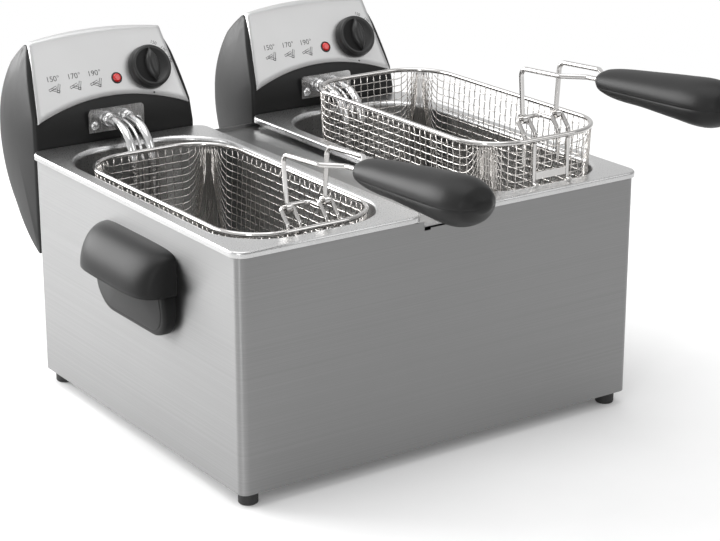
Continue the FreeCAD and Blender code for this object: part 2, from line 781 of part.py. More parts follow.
def head_outline():
    """A head seen from its front: upright sides that curve in towards a crowned top."""
    flange = value(FLANGE_TOP)
    half, top_half = value(HEAD_WIDTH) / 2, value(HEAD_TOP_WIDTH) / 2
    low = flange - value("head_drop") - value(HEAD_WIDTH)
    start = flange + value("head_side_rise")
    crown = flange + value("head_rise")
    shoulder = crown - value("head_crown")
    rise, draw = shoulder - start, half - top_half
    radius = (rise**2 + draw**2) / (2 * draw)
    middle_x = half - radius + math.sqrt(radius**2 - rise**2 / 4)
    middle_z = start + rise / 2
    edges = [
        line(V(-half, 0, low), V(half, 0, low)),
        line(V(half, 0, low), V(half, 0, start)),
        Part.Arc(V(half, 0, start), V(middle_x, 0, middle_z), V(top_half, 0, shoulder)).toShape(),
        Part.Arc(V(top_half, 0, shoulder), V(0, 0, crown), V(-top_half, 0, shoulder)).toShape(),
        Part.Arc(V(-top_half, 0, shoulder), V(-middle_x, 0, middle_z), V(-half, 0, start)).toShape(),
        line(V(-half, 0, start), V(-half, 0, low)),
    ]
    return rounded(Part.Wire(edges), value("head_outline_round"))


def head_block(inset):
    """The solid where a head's profile and outline meet, drawn in by inset all round."""
    profile, front = head_profile(), head_outline()
    if inset:
        profile, front = profile.makeOffset2D(-inset, 2), front.makeOffset2D(-inset, 2)
    across = Part.Face(profile).extrude(AXIS_X * 2 * FAR)
    across.translate(AXIS_X * -FAR)
    return one_solid(across.common(Part.Face(front).extrude(AXIS_Y * FAR)))


def panel_place():
    """The frame of the leaning front: x across, y up the slope from the kink, z out of the front."""
    turn = FreeCAD.Rotation(AXIS_X, 90 - value("head_lean"))
    return FreeCAD.Placement(V(0, value(HEAD_FRONT), value(f"{FLANGE_TOP} + head_kink")), turn)


def on_panel(x, rise, out):
    return panel_place().multVec(V(value(x), value(rise), out))


def panel_hole(x, rise, radius):
    """A bar through the leaning front, square to it."""
    depth = 4 * value("head_wall")
    return rod(value(radius), on_panel(x, rise, -depth), on_panel(x, rise, depth))


def cover_window(gap):
    """The block that takes the rear cover out of a head, drawn in by gap."""
    half, flange = value(f"{HEAD_WIDTH} / 2 - cover_inset") - gap, value(FLANGE_TOP)
    front = value(f"{HEAD_FRONT} + head_depth / 3")
    low, high = flange - value("cover_low") + gap, flange + value("cover_high") - gap
    return block((-half, front, low), (half, FAR, high))


def cover_screw_places():
    x, low, high = value("cover_screw_x"), value("cover_screw_low"), value("cover_screw_high")
    flange = value(FLANGE_TOP)
    return [(-x, flange - low), (x, flange - low), (-x, flange + high)]


def back_of(solid, x, z):
    """How far back a solid reaches along a line at x and z."""
    return solid.common(line(V(x, 0, z), V(x, FAR, z))).BoundBox.YMax


def screw_seat(outer, x, z):
    """Where a cover screw's head sits, below the curved back."""
    return back_of(outer, x, z) - 0.6 * value("cover_boss_length")


def rail_slots():
    """What the rear rails need free in a head, open at the bottom."""
    gap = value("slot_gap")
    top = value(f"{FLANGE_TOP} - rail_drop + seat_gap")
    low = top - value("head_drop") - value(HEAD_WIDTH)
    front = value(HEAD_FRONT)
    neck, head = value("rail_neck") / 2 + gap, value("rail_head") / 2 + gap
    tip = value(f"{HEAD_INSIDE} + 2 * slot_gap + rail_head_depth")
    slots = []
    for x in (-value(RAIL_X), value(RAIL_X)):
        slots.append(block((x - neck, front - gap, low), (x + neck, tip, top)))
        slots.append(block((x - head, value(HEAD_INSIDE), low), (x + head, tip, top)))
    return Part.makeCompound(slots)


def plate_holes(gap):
    """Bars where the tubes, the sensor and the plate's screws pass through the front."""
    front, depth = value(HEAD_FRONT), value("tube_inside")
    height, leg = value(TUBE_HEIGHT), value("tube_spacing") / 2
    bars = [(x, height, value("tube_radius")) for x in (-leg, leg)]
    bars.append((0, height, value("sensor_radius")))
    bars += [(value(x), value(z), value("plate_screw_radius")) for x, z in plate_screw_places()]
    rods = [rod(r + gap, V(x, front - depth, z), V(x, front + depth, z)) for x, z, r in bars]
    return Part.makeCompound(rods)


def plate_screw_places():
    x = "(plate_width / 2 - plate_screw_inset)"
    return [(f"{sign} {x}", f"{FLANGE_TOP} + plate_lift + plate_screw_inset") for sign in ("", "-")]


def head_shells():
    """The housing and the rear cover of both heads."""
    raw = head_block(0)
    outer = raw.makeFillet(value("head_edge_round"), raw.Edges)
    inner = head_block(value("head_wall"))
    shell = outer.cut(inner)
    flange, front = value(FLANGE_TOP), value(HEAD_FRONT)
    low, high = flange + value("plate_lift"), flange + value("plate_lift") + value("plate_height")
    half = value("plate_width") / 2
    boss = block((-half, front, low), (half, front + value("tube_inside") / 2, high))
    housing = shell.cut(cover_window(0)).fuse(boss.cut(inner))
    cover = shell.common(cover_window(value("slot_gap")))
    screw, boss_radius = value("cover_screw_radius"), value("cover_boss_radius")
    for x, z in cover_screw_places():
        back = back_of(outer, x, z)
        seat = screw_seat(outer, x, z)
        split = back - value("cover_boss_length")
        pillar = rod(boss_radius, V(x, front, z), V(x, split, z)).common(outer)
        stub = rod(boss_radius, V(x, split, z), V(x, FAR, z)).common(outer)
        hole = rod(screw + value("running_gap"), V(x, split - value("cover_boss_length"), z), V(x, FAR, z))
        sink = rod(2 * screw + value("slot_gap"), V(x, seat, z), V(x, FAR, z))
        housing = housing.fuse(pillar).cut(hole)
        cover = cover.fuse(stub).cut(hole).cut(sink)
    cover = gland_recess(cover, outer)
    knob_hole = panel_hole(KNOB_X, "knob_rise", "bush_radius + slot_gap")
    lamp_hole = panel_hole("lamp_offset", "lamp_rise", "lamp_radius + slot_gap")
    housing = housing.cut(rail_slots()).cut(plate_holes(value("slot_gap"))).cut(knob_hole).cut(lamp_hole)
    for side in TANK_X:
        add_solid(one_solid(housing), f"head_housing_{side}", TANK_X[side])
        add_solid(one_solid(cover), f"rear_cover_{side}", TANK_X[side])
        cover_screws(side, outer)


def gland_place(outer):
    """Where the cord gland's flange sits, at the bottom of its recess."""
    height = value(f"{FLANGE_TOP} - gland_low")
    return V(0, back_of(outer, 0, height) - value("gland_recess"), height)


def gland_recess(cover, outer):
    seat, wall = gland_place(outer), value("head_wall")
    radius = value("gland_flange + 2 * slot_gap")
    cup = rod(radius + wall, seat - AXIS_Y * wall, V(0, FAR, seat.z)).common(outer)
    well = rod(radius, seat, V(0, FAR, seat.z))
    hole = rod(value("gland_radius + slot_gap"), seat - AXIS_Y * 2 * wall, seat)
    return cover.fuse(cup).cut(well).cut(hole)


def cover_screws(side, outer):
    screws = []
    radius = value("cover_screw_radius")
    for x, z in cover_screw_places():
        seat = V(x, screw_seat(outer, x, z), z)
        shank = rod(radius, seat - AXIS_Y * value("cover_boss_length"), seat)
        head = rod(2 * radius, seat, seat + AXIS_Y * value("screw_head_height"))
        screws.append(shank.fuse(head).removeSplitter())
    add_solid(Part.makeCompound(screws), f"cover_screws_{side}", TANK_X[side])
    seat, length = gland_place(outer), 3 * value("head_wall")
    sleeve = rod(value("gland_radius"), seat - AXIS_Y * length, seat)
    collar = rod(value("gland_flange"), seat, seat + AXIS_Y * value("head_wall"))
    bore = rod(value("gland_radius") / 2, seat - AXIS_Y * 2 * length, seat + AXIS_Y * length)
    add_solid(sleeve.fuse(collar).cut(bore).removeSplitter(), f"cord_gland_{side}", TANK_X[side])


# Control heads: front plate, knob, thermostat and lamp

def add_panel_part(body, label, side, x="0", rise="0"):
    """Set a body that was drawn flat on the leaning front of a head."""
    body.Placement = FreeCAD.Placement(V(), FreeCAD.Rotation(AXIS_X, 90))
    bind(body, "Placement.Rotation.Angle", "(90 - head_lean) * 1 deg")
    across = f"{TANK_X[side]} + {x}"
    back = f"{HEAD_FRONT} + ({rise}) * sin(head_lean * 1 deg)"
    up = f"{FLANGE_TOP} + head_kink + ({rise}) * cos(head_lean * 1 deg)"
    add_part(body, label, across, back, up)


def fascia(side):
    body = new_body(f"fascia_{side}")
    low, high = "fascia_bottom", "fascia_bottom + fascia_height"
    low_half = f"({HEAD_WIDTH} / 2 - fascia_low_margin)"
    high_half = f"({HEAD_TOP_WIDTH} / 2 - fascia_high_margin)"
    points = [
        (f"- {low_half}", low, "fascia_arch_radius", "inwards"),
        (low_half, low),
        (high_half, high, "fascia_crown_radius"),
        (f"- {high_half}", high),
    ]
    pad(body, outline(body, "XY_Plane", [points]), "fascia_thickness")
    holes = ((KNOB_X, "knob_rise", "bush_radius"), ("lamp_offset", "lamp_rise", "lamp_radius"))
    for x, rise, radius in holes:
        hole = circles(body, "XY_Plane", [(x, rise)], f"{radius} + slot_gap", "fascia_thickness")
        pocket(body, hole, "2 * fascia_thickness")
    add_panel_part(body, f"fascia_{side}", side)


def knob(side):
    body = new_body(f"knob_{side}")
    foot = "fascia_thickness + knob_gap"
    middle = [("0", "0")]
    skirt = pad(body, circles(body, "XY_Plane", middle, "knob_radius", foot), "knob_skirt")
    skirt.TaperAngle = -6
    half = "knob_grip_length / 2"
    grip = [("0", f"- {half}", "knob_grip_radius"), ("0", half, "knob_grip_radius")]
    pad(body, outline(body, "XY_Plane", [grip], f"{foot} + knob_skirt"), "knob_grip_height")
    bore = circles(body, "XY_Plane", middle, "spindle_radius + running_gap", foot)
    pocket(body, bore, "spindle_top + running_gap", backwards=True)
    add_panel_part(body, f"knob_{side}", side, KNOB_X, "knob_rise")


def spindle(side):
    body = new_body(f"spindle_{side}")
    low = "- (head_wall + spindle_depth)"
    length = "head_wall + spindle_depth + fascia_thickness + knob_gap + spindle_top"
    pad(body, circles(body, "XY_Plane", [("0", "0")], "spindle_radius", low), length)
    add_panel_part(body, f"thermostat_spindle_{side}", side, KNOB_X, "knob_rise")


def thermostat(side):
    body = new_body(f"thermostat_{side}")
    middle = [("0", "0")]
    seat = "- head_wall"
    can = circles(body, "XY_Plane", middle, "thermostat_radius", seat)
    pad(body, can, "thermostat_depth", backwards=True)
    pad(body, circles(body, "XY_Plane", middle, "bush_radius", seat), "head_wall + fascia_thickness")
    bore = circles(body, "XY_Plane", middle, "spindle_radius + running_gap", "fascia_thickness")
    pocket(body, bore, "fascia_thickness + head_wall + spindle_depth + running_gap")
    add_panel_part(body, f"thermostat_{side}", side, KNOB_X, "knob_rise")


def pilot_lens(side):
    body = new_body(f"pilot_lens_{side}")
    stem = circles(body, "XY_Plane", [("0", "0")], "lamp_radius", "- lamp_stem")
    pad(body, stem, "lamp_stem + fascia_thickness + lamp_dome")
    tip = value("fascia_thickness + lamp_dome")
    fillet(body, "lamp_dome * 0.9", lambda box: is_level(box, tip))
    add_panel_part(body, f"pilot_lens_{side}", side, "lamp_offset", "lamp_rise")


# Control heads: heating element and the parts behind the front

def element_plate(side):
    body = new_body(f"element_plate_{side}")
    edge, inner = "plate_width / 2", "(plate_width / 2 - plate_corner)"
    low, high = f"{FLANGE_TOP} + plate_lift", f"{FLANGE_TOP} + plate_lift + plate_height"
    points = [
        (f"- {edge}", low), (edge, low), (edge, f"{high} - plate_corner", "plate_corner"),
        (inner, high), (f"- {inner}", high, "plate_corner"), (f"- {edge}", f"{high} - plate_corner"),
    ]
    front = f"- {HEAD_FRONT}"
    pad(body, outline(body, "XZ_Plane", [points], front), "plate_thickness")
    face = f"{front} + plate_thickness"
    legs = [(f"{sign} tube_spacing / 2", TUBE_HEIGHT) for sign in ("", "-")]
    holes = ((legs, "tube_radius + running_gap"), ([("0", TUBE_HEIGHT)], "sensor_radius + running_gap"),
             (plate_screw_places(), "plate_screw_radius + running_gap"))
    for centres, radius in holes:
        pocket(body, circles(body, "XZ_Plane", centres, radius, face), "2 * plate_thickness")
    add_part(body, f"element_plate_{side}", TANK_X[side])


def element_screws(side):
    body = new_body(f"element_screws_{side}")
    face = f"- {HEAD_FRONT} + plate_thickness"
    shank = circles(body, "XZ_Plane", plate_screw_places(), "plate_screw_radius", face)
    pad(body, shank, "plate_thickness + plate_screw_bite", backwards=True)
    head = circles(body, "XZ_Plane", plate_screw_places(), "2 * plate_screw_radius", face)
    pad(body, head, "screw_head_height")
    add_part(body, f"element_screws_{side}", TANK_X[side])


def leg_points(x):
    """A tube's way from inside the head, over the flange and down into the tank."""
    height, back = value(TUBE_HEIGHT), value(f"{HEAD_FRONT} + tube_inside")
    down = value(f"{HEAD_FRONT} - tube_reach")
    return [V(x, back, height), V(x, down, height)]


def element(side):
    leg, loop = -value("tube_spacing") / 2, value(LOOP_HEIGHT)
    wide, gap = value(f"{OPENING_WIDTH} / 2 - loop_side_gap"), value("loop_run_gap")
    front, back = value(f"{OPENING_FRONT} + loop_front_gap"), value(f"{OPENING_BACK} - loop_back_gap")
    points = leg_points(leg)
    points += [
        V(leg, points[1].y, loop),
        V(leg, value(f"{OPENING_BACK} - spread_start_gap"), loop),
        V(-wide, value(f"{OPENING_BACK} - spread_end_gap"), loop),
        V(-wide, front, loop),
        V(gap - wide, front, loop),
        V(gap - wide, back, loop),
    ]
    turn, inner_turn = 0.49 * gap, 0.98 * (wide - gap)
    spread = value("spread_bend")
    bends = [value("tube_bend"), value("tube_foot_bend"), spread, spread, turn, turn, inner_turn]
    path = bent_path(mirrored_points(points), bends + bends[::-1])
    add_solid(tube(path, value("tube_radius")), f"heating_element_{side}", TANK_X[side])


def sensor(side):
    points = leg_points(0)
    points.append(V(0, points[1].y, value(f"{LOOP_HEIGHT} + sensor_lift")))
    path = bent_path(points, [value("tube_bend")])
    add_solid(tube(path, value("sensor_radius")), f"sensor_tube_{side}", TANK_X[side])


def thermal_cutout(side):
    body = new_body(f"thermal_cutout_{side}")
    place = [("cutout_x", f"{FLANGE_TOP} - cutout_drop")]
    disc = circles(body, "XZ_Plane", place, "cutout_radius", f"- {HEAD_INSIDE}")
    pad(body, disc, "cutout_height", backwards=True)
    add_part(body, f"thermal_cutout_{side}", TANK_X[side])


def add_box(label, side, width, depth, height, x, z):
    """A box that sits on the inside of a head's front wall."""
    box = doc.addObject("Part::Box", f"{label}_{side}_box")
    bind(box, "Length", width)
    bind(box, "Width", depth)
    bind(box, "Height", height)
    add_part(box, f"{label}_{side}", f"{TANK_X[side]} + {x} - {width} / 2", HEAD_INSIDE, z)


def safety_switch(side):
    """The switch in a head, whose place is measured inwards from the rail beside it."""
    x, height = f"({RAIL_X} - switch_x)", f"{FLANGE_TOP} - switch_drop"
    add_box("safety_switch", side, "switch_width", "switch_depth", "switch_height", x, height)


def terminal_block(side):
    height = f"{FLANGE_TOP} - terminal_drop"
    add_box("terminal_block", side, "terminal_width", "terminal_depth", "terminal_height", "0", height)


def heads():
    head_shells()
    pieces = (fascia, knob, spindle, thermostat, pilot_lens, element_plate, element_screws, element, sensor,
              thermal_cutout, safety_switch, terminal_block)
    for side in TANK_X:
        for piece in pieces:
            piece(side)


# Baskets

# Openings in a basket: along each long wall, each end wall and each corner, rows of them, and in the floor
LONG_WINDOWS = 8
END_WINDOWS = 2
CORNER_WINDOWS = 3
WALL_ROWS = 3
FLOOR_COLUMNS = 4
FLOOR_ROWS = 9


def rim_corners(inset, height):
    """The corners of the rim's middle line, drawn in by inset."""
    wire = value("wire_radius")
    half = value(BASKET_WIDTH) / 2 - wire - inset
    front = value(BASKET_FRONT) + wire + inset
    back = value(BASKET_BACK) - wire - inset
    return [V(-half, front, height), V(half, front, height), V(half, back, height), V(-half, back, height)]


def rim_loop(inset, height):
    radius = value("basket_corner - wire_radius") - inset
    return bent_path(rim_corners(inset, height), [radius] * 4, closed=True)


def basket_floor():
    """The underside of a lowered basket, just above the heating loop."""
    return value(f"{LOOP_HEIGHT} + tube_radius + seat_gap")


def basket_bowl(inset, floor):
    """The basket's tapered body as a filled solid with a rounded bottom."""
    top = value(f"{RIM_HEIGHT} - wire_radius")
    taper = value("basket_taper")
    solid = Part.makeLoft([rim_loop(inset, top), rim_loop(inset + taper, floor)], True, True)
    edges = [edge for edge in solid.Edges if is_level(edge.BoundBox, floor)]
    return solid.makeFillet(value("basket_floor_round") - inset, edges)


def spread_out(low, high, count):
    """The low and high ends of windows that share a length, with a bar between each two."""
    bar = value("mesh_bar")
    pitch = (high - low + bar) / count
    return [(low + number * pitch, low + (number + 1) * pitch - bar) for number in range(count)]


def wall_windows(low, high):
    """Blocks that cut one row of openings round a basket's walls."""
    radius, bar = value("basket_corner"), value("mesh_bar")
    half, front, back = value(BASKET_WIDTH) / 2, value(BASKET_FRONT), value(BASKET_BACK)
    along = spread_out(front + radius, back - radius, LONG_WINDOWS)
    across = spread_out(radius - half, half - radius, END_WINDOWS)
    blocks = [block((-FAR, start, low), (FAR, end, high)) for start, end in along]
    blocks += [block((start, -FAR, low), (end, FAR, high)) for start, end in across]
    step = 90 / CORNER_WINDOWS
    width = radius * math.radians(step) - bar
    for x, y, turn in ((half, back, 0), (-half, back, 90), (-half, front, 180), (half, front, 270)):
        middle = V(math.copysign(half - radius, x), y - math.copysign(radius, y), 0)
        for number in range(CORNER_WINDOWS):
            cut = block((radius / 2, -width / 2, low), (2 * radius, width / 2, high))
            cut.rotate(V(), AXIS_Z, turn + (number + 0.5) * step)
            cut.translate(middle)
            blocks.append(cut)
    return blocks


def floor_windows(floor):
    """Blocks that cut a grid of openings in a basket's floor, inside its rounded edge."""
    inset = value("basket_taper + basket_floor_round + mesh_border")
    half = value(BASKET_WIDTH) / 2 - inset
    front, back = value(BASKET_FRONT) + inset, value(BASKET_BACK) - inset
    low, high = floor - value("basket_floor_round"), floor + value("basket_floor_round")
    flat = Part.Face(rim_loop(inset, low)).extrude(AXIS_Z * (high - low))
    blocks = []
    for left, right in spread_out(-half, half, FLOOR_COLUMNS):
        for near, far in spread_out(front, back, FLOOR_ROWS):
            blocks.append(block((left, near, low), (right, far, high)).common(flat))
    return blocks


def basket_mesh_shape():
    """A thin tub with a plain grid of openings that stands for the woven wire."""
    half, floor = value("mesh_thickness") / 2, basket_floor()
    tub = basket_bowl(-half, floor).cut(basket_bowl(half, floor + 2 * half))
    low = floor + value("basket_floor_round + mesh_border")
    high = value(f"{RIM_HEIGHT} - wire_radius - mesh_border")
    cuts = floor_windows(floor)
    for row_low, row_high in spread_out(low, high, WALL_ROWS):
        cuts += wall_windows(row_low, row_high)
    return one_solid(tub.cut(Part.makeCompound(cuts)))


def basket(side):
    place = (TANK_X[side], DRAIN_Y[side], DRAIN_Z[side])
    rim = tube(rim_loop(0, value(RIM_HEIGHT)), value("wire_radius"))
    add_solid(rim, f"basket_rim_{side}", *place)
    add_solid(basket_mesh_shape(), f"basket_mesh_{side}", *place)
    add_solid(handle_bracket_shape(), f"handle_bracket_{side}", *place)
    add_solid(drain_hook_shape(), f"drain_hook_{side}", *place)


def pivot(x):
    """The handle's hinge point, inside the front of the rim."""
    return V(x, value(PIVOT_Y), value(f"{RIM_HEIGHT} + pivot_height"))


def bracket_leg(x):
    """One leg of a bracket loop: up the inside of the front wall, then leaning in to the hinge."""
    wall, rim = value(BRACKET_Y), value(RIM_HEIGHT)
    return [V(x, wall, rim - value("bracket_depth")), V(x, wall, rim + value("bracket_knee")), pivot(x)]


def handle_bracket_shape():
    """Two wire loops that stand on the front wall and carry the handle's eyes, joined by an inner arch."""
    radius = value("bracket_wire_radius")
    leg, span = value("leg_spacing") / 2, value("bracket_span") / 2
    bend, knee_bend = value("bracket_bend"), value("knee_bend")
    loops = []
    for x in (-leg, leg):
        near, far = bracket_leg(x - span), bracket_leg(x + span)
        loops.append(tube(bent_path(near + far[::-1], [knee_bend, bend, bend, knee_bend]), radius))
    knee, top = bracket_leg(leg - span)[1:]
    start = top + (knee - top).normalize() * 2 * bend
    inward = AXIS_Y * value("arch_reach")
    mirror = V(-start.x, start.y, start.z)
    arch_bend = value("arch_bend")
    arch = tube(bent_path([start, start + inward, mirror + inward, mirror], [arch_bend, arch_bend]), radius)
    return one_solid(loops[0].fuse(loops[1]).fuse(arch))


def drain_hook_shape():
    """Two short wires outside the front wall, with toes that hook on the flange, and a strip between them."""
    radius, leg = value("bracket_wire_radius"), value("leg_spacing") / 2
    y = value(f"{BASKET_FRONT} + wire_radius - mesh_thickness / 2 - bracket_wire_radius - running_gap")
    top = value(f"{RIM_HEIGHT} - wire_radius - running_gap")
    toe = value(f"{FLANGE_TOP} - drain_rise + bracket_wire_radius + seat_gap")
    tip = value(f"{OPENING_FRONT} + hook_tip_gap")
    strip_low = toe + 2 * radius
    half_strip = value("hook_strip_thickness") / 2
    strip_high = strip_low + value("hook_strip_height")
    shape = block((-leg, y - half_strip, strip_low), (leg, y + half_strip, strip_high))
    for x in (-leg, leg):
        path = bent_path([V(x, y, top), V(x, y, toe), V(x, tip, toe)], [radius * 1.2])
        shape = shape.fuse(tube(path, radius))
    return one_solid(shape)


def baskets():
    for side in TANK_X:
        basket(side)


# Basket handles

def on_handle(x, ahead):
    """A point on the handle's tilted middle line, some way ahead of the hinge."""
    rise = ahead * math.tan(math.radians(value("handle_tilt")))
    return V(x, value(PIVOT_Y) - ahead, value(f"{RIM_HEIGHT} + leg_height") + rise)


def handle_wire_path():
    start, narrow = pivot(-value("leg_spacing") / 2), value("grip_wire_spacing") / 2
    wide = value("leg_spacing / 2 + leg_splay")
    forward = value("leg_forward")
    points = [
        start + AXIS_Z * value("bracket_wire_radius + 2 * running_gap"),
        on_handle(-wide, 0),
        on_handle(-wide, forward),
        on_handle(-narrow, forward + value("leg_jog")),
        on_handle(-narrow, value("grip_wire_end")),
    ]
    bends = [value("leg_bend"), value("jog_bend"), value("jog_bend"), 0.98 * narrow]
    return bent_path(mirrored_points(points), bends + bends[::-1])


def handle_wire_shape():
    """One bent wire from eye to eye, through the grip."""
    shape = tube(handle_wire_path(), value("wire_radius"))
    half = AXIS_X * (value("eye_width") / 2)
    for x in (-value("leg_spacing") / 2, value("leg_spacing") / 2):
        middle = pivot(x)
        shape = shape.fuse(rod(value("eye_radius"), middle - half, middle + half))
        bore = rod(value("bracket_wire_radius + running_gap"), middle - half * 2, middle + half * 2)
        shape = shape.cut(bore)
    return one_solid(shape)


# Along the grip from its start: share of its length, of its width, and of its height above and below the wire
GRIP_SECTIONS = (
    (0.0, 0.48, 0.15, 0.2),
    (0.04, 0.64, 0.21, 0.31),
    (0.16, 0.74, 0.27, 0.41),
    (0.36, 0.85, 0.32, 0.45),
    (0.62, 0.97, 0.38, 0.54),
    (0.84, 1.0, 0.4, 0.6),
    (0.95, 0.76, 0.27, 0.47),
    (1.0, 0.4, 0.08, 0.24),
)


def grip_shape():
    """The grip's club shape, with a channel for the wire."""
    width, height = value("grip_width"), value("grip_height")
    rings = []
    for along, wide, above, below in GRIP_SECTIONS:
        middle = on_handle(0, value("grip_start") + along * value("grip_length"))
        middle += AXIS_Z * (height * (above - below) / 2)
        side = middle + AXIS_X * (wide * width / 2)
        top = middle + AXIS_Z * (height * (above + below) / 2)
        ends = (side, top) if wide * width > height * (above + below) else (top, side)
        rings.append(Part.Wire(Part.Ellipse(*ends, middle).toShape()))
    channel = tube(handle_wire_path(), value("wire_radius + running_gap"))
    return Part.makeLoft(rings, True, False).cut(channel)


def basket_handles():
    wire, grip = handle_wire_shape(), grip_shape()
    seam = on_handle(0, 0) - AXIS_Z * value("grip_parting")
    upper = block((-FAR, -FAR, seam.z), (FAR, FAR, FAR))
    upper.rotate(seam, AXIS_X, -value("handle_tilt"))
    for side in TANK_X:
        place = (TANK_X[side], DRAIN_Y[side], DRAIN_Z[side])
        add_solid(wire, f"handle_wire_{side}", *place)
        add_solid(one_solid(grip.common(upper)), f"grip_upper_{side}", *place)
        add_solid(one_solid(grip.cut(upper)), f"grip_lower_{side}", *place)


for build in (outer_casing, base_plate, feet, base_screws, centre_bridge, rear_rails, side_handles,
              handle_inserts, handle_screws, tanks, heads, baskets, basket_handles):
    build()
doc.recompute()

failed = [thing.Label for thing in doc.Objects if {"Invalid", "Error"} & set(thing.State)]
failed += [part.Label for part in sub_parts if part.Shape.isNull() or not part.Shape.isValid()]
if failed:
    raise RuntimeError("failed: " + ", ".join(failed))
os.makedirs("parts", exist_ok=True)
for part in sub_parts:
    part.Shape.exportStep(f"parts/{part.Label}.step")
print(len(sub_parts), "sub-parts written")
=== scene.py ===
import math

import bmesh
import bpy
from mathutils import Matrix, Vector


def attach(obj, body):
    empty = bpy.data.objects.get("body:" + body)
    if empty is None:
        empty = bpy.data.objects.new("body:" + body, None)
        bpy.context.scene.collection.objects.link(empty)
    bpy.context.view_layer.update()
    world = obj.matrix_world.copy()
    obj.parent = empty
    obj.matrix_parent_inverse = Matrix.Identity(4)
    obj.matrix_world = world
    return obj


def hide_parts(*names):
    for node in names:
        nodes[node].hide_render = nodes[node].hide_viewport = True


# Double deep fryer, dressed for the photograph's view.
# Pieces are drawn in millimetres and scaled to metres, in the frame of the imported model.

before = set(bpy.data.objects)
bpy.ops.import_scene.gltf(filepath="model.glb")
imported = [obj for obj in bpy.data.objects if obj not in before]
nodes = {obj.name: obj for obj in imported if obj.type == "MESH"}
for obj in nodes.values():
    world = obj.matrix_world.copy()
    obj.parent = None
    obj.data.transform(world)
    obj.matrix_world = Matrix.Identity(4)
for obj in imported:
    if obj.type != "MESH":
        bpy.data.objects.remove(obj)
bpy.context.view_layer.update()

MM = 0.001
MICRON = 0.000001
RIGHT_ANGLE = math.pi / 2
SIDES = ("left", "right")
TANK_X = {"left": -111.5, "right": 111.5}
CASE_Y = 53.35

# The left basket stands in its tank, and the right one is hung up to drain.
DRAIN_FORWARD, DRAIN_RISE = 8.5, 38.8
BASKET_Y = {"left": CASE_Y, "right": CASE_Y - DRAIN_FORWARD}
BASKET_Z = {"left": 0.0, "right": DRAIN_RISE}

PANEL_SETBACK = 174.5
PANEL_Y = CASE_Y + PANEL_SETBACK
PANEL_FOOT = 228.0
PANEL_LEAN = math.radians(27.0)


# Materials

GRAIN_DETAIL, CLOUD_DETAIL = 3.0, 2.0
NOISE_MIDDLE = (0.3, 0.7)
BRUSH_STRETCH = 0.75
QUARTER_TURN = 0.25


def even(repeats):
    """The same number of lumps to a metre along X, Y and Z."""
    return (repeats, repeats, repeats)


SLOW, EVEN, FINE = even(12), even(900), even(2600)
ROLLED, LENGTHWAYS, UPRIGHT = (40, 8, 40), (900, 30, 900), (1200, 1200, 60)
LEVEL_GRAIN, LEVEL_CLOUD = (10, 10, 2600), (1, 1, 1500)


def new_material(name):
    """A node material: its tree and its Principled shader."""
    material = bpy.data.materials.new(name)
    material.use_nodes = True
    tree = material.node_tree
    return material, tree, tree.nodes["Principled BSDF"]


def noise(tree, repeats, detail):
    """A noise over the object's own coordinates, with so many lumps to a metre along X, Y and Z."""
    place = tree.nodes.new("ShaderNodeTexCoord")
    mapping = tree.nodes.new("ShaderNodeMapping")
    mapping.inputs["Scale"].default_value = repeats
    texture = tree.nodes.new("ShaderNodeTexNoise")
    texture.inputs["Scale"].default_value = 1.0
    texture.inputs["Detail"].default_value = detail
    tree.links.new(place.outputs["Object"], mapping.inputs["Vector"])
    tree.links.new(mapping.outputs["Vector"], texture.inputs["Vector"])
    return texture.outputs["Fac"]


def map_range(tree, value, source, target):
    """A node that takes a value from one pair of limits to another."""
    node = tree.nodes.new("ShaderNodeMapRange")
    for name, limits in (("From", source), ("To", target)):
        node.inputs[f"{name} Min"].default_value = limits[0]
        node.inputs[f"{name} Max"].default_value = limits[1]
    tree.links.new(value, node.inputs["Value"])
    return node


def colours(tree, factor, dark, light):
    """A colour between dark and light that follows a noise."""
    node = tree.nodes.new("ShaderNodeValToRGB")
    for element, position, colour in zip(node.color_ramp.elements, NOISE_MIDDLE, (dark, light)):
        element.position = position
        element.color = (*colour, 1.0)
    tree.links.new(factor, node.inputs["Fac"])
    return node.outputs["Color"]


def relief(tree, shader, height, depth):
    """Bump of a depth in metres on a shader."""
    node = tree.nodes.new("ShaderNodeBump")
    node.inputs["Strength"].default_value = 1.0
    node.inputs["Distance"].default_value = depth
    tree.links.new(height, node.inputs["Height"])
    tree.links.new(node.outputs["Normal"], shader.inputs["Normal"])


def surface(name, dark, light, rough, repeats, microns=0, cloud=SLOW, metallic=0.0, coat=0.0, gloss=0.5):
    """A material whose fine grain gives roughness and relief, and whose slow clouding gives colour."""
    material, tree, shader = new_material(name)
    grain = noise(tree, repeats, GRAIN_DETAIL)
    clouding = noise(tree, cloud, CLOUD_DETAIL)
    roughness = map_range(tree, grain, NOISE_MIDDLE, rough)
    tree.links.new(colours(tree, clouding, dark, light), shader.inputs["Base Color"])
    tree.links.new(roughness.outputs["Result"], shader.inputs["Roughness"])
    shader.inputs["Metallic"].default_value = metallic
    shader.inputs["Coat Weight"].default_value = coat
    shader.inputs["Specular IOR Level"].default_value = gloss
    if microns:
        relief(tree, shader, grain, microns * MICRON)
    return material


def metal(*look, **more):
    """A surface of bare metal."""
    return surface(*look, metallic=1.0, **more)


def brushed(name, dark, light, rough):
    """Metal whose grain runs level round the case and stretches the highlights up and down."""
    material = metal(name, dark, light, rough, LEVEL_GRAIN, microns=1, cloud=LEVEL_CLOUD)
    tree = material.node_tree
    shader = tree.nodes["Principled BSDF"]
    tangent = tree.nodes.new("ShaderNodeTangent")
    tangent.direction_type = "RADIAL"
    tangent.axis = "Z"
    tree.links.new(tangent.outputs["Tangent"], shader.inputs["Tangent"])
    shader.inputs["Anisotropic"].default_value = BRUSH_STRETCH
    shader.inputs["Anisotropic Rotation"].default_value = QUARTER_TURN
    return material


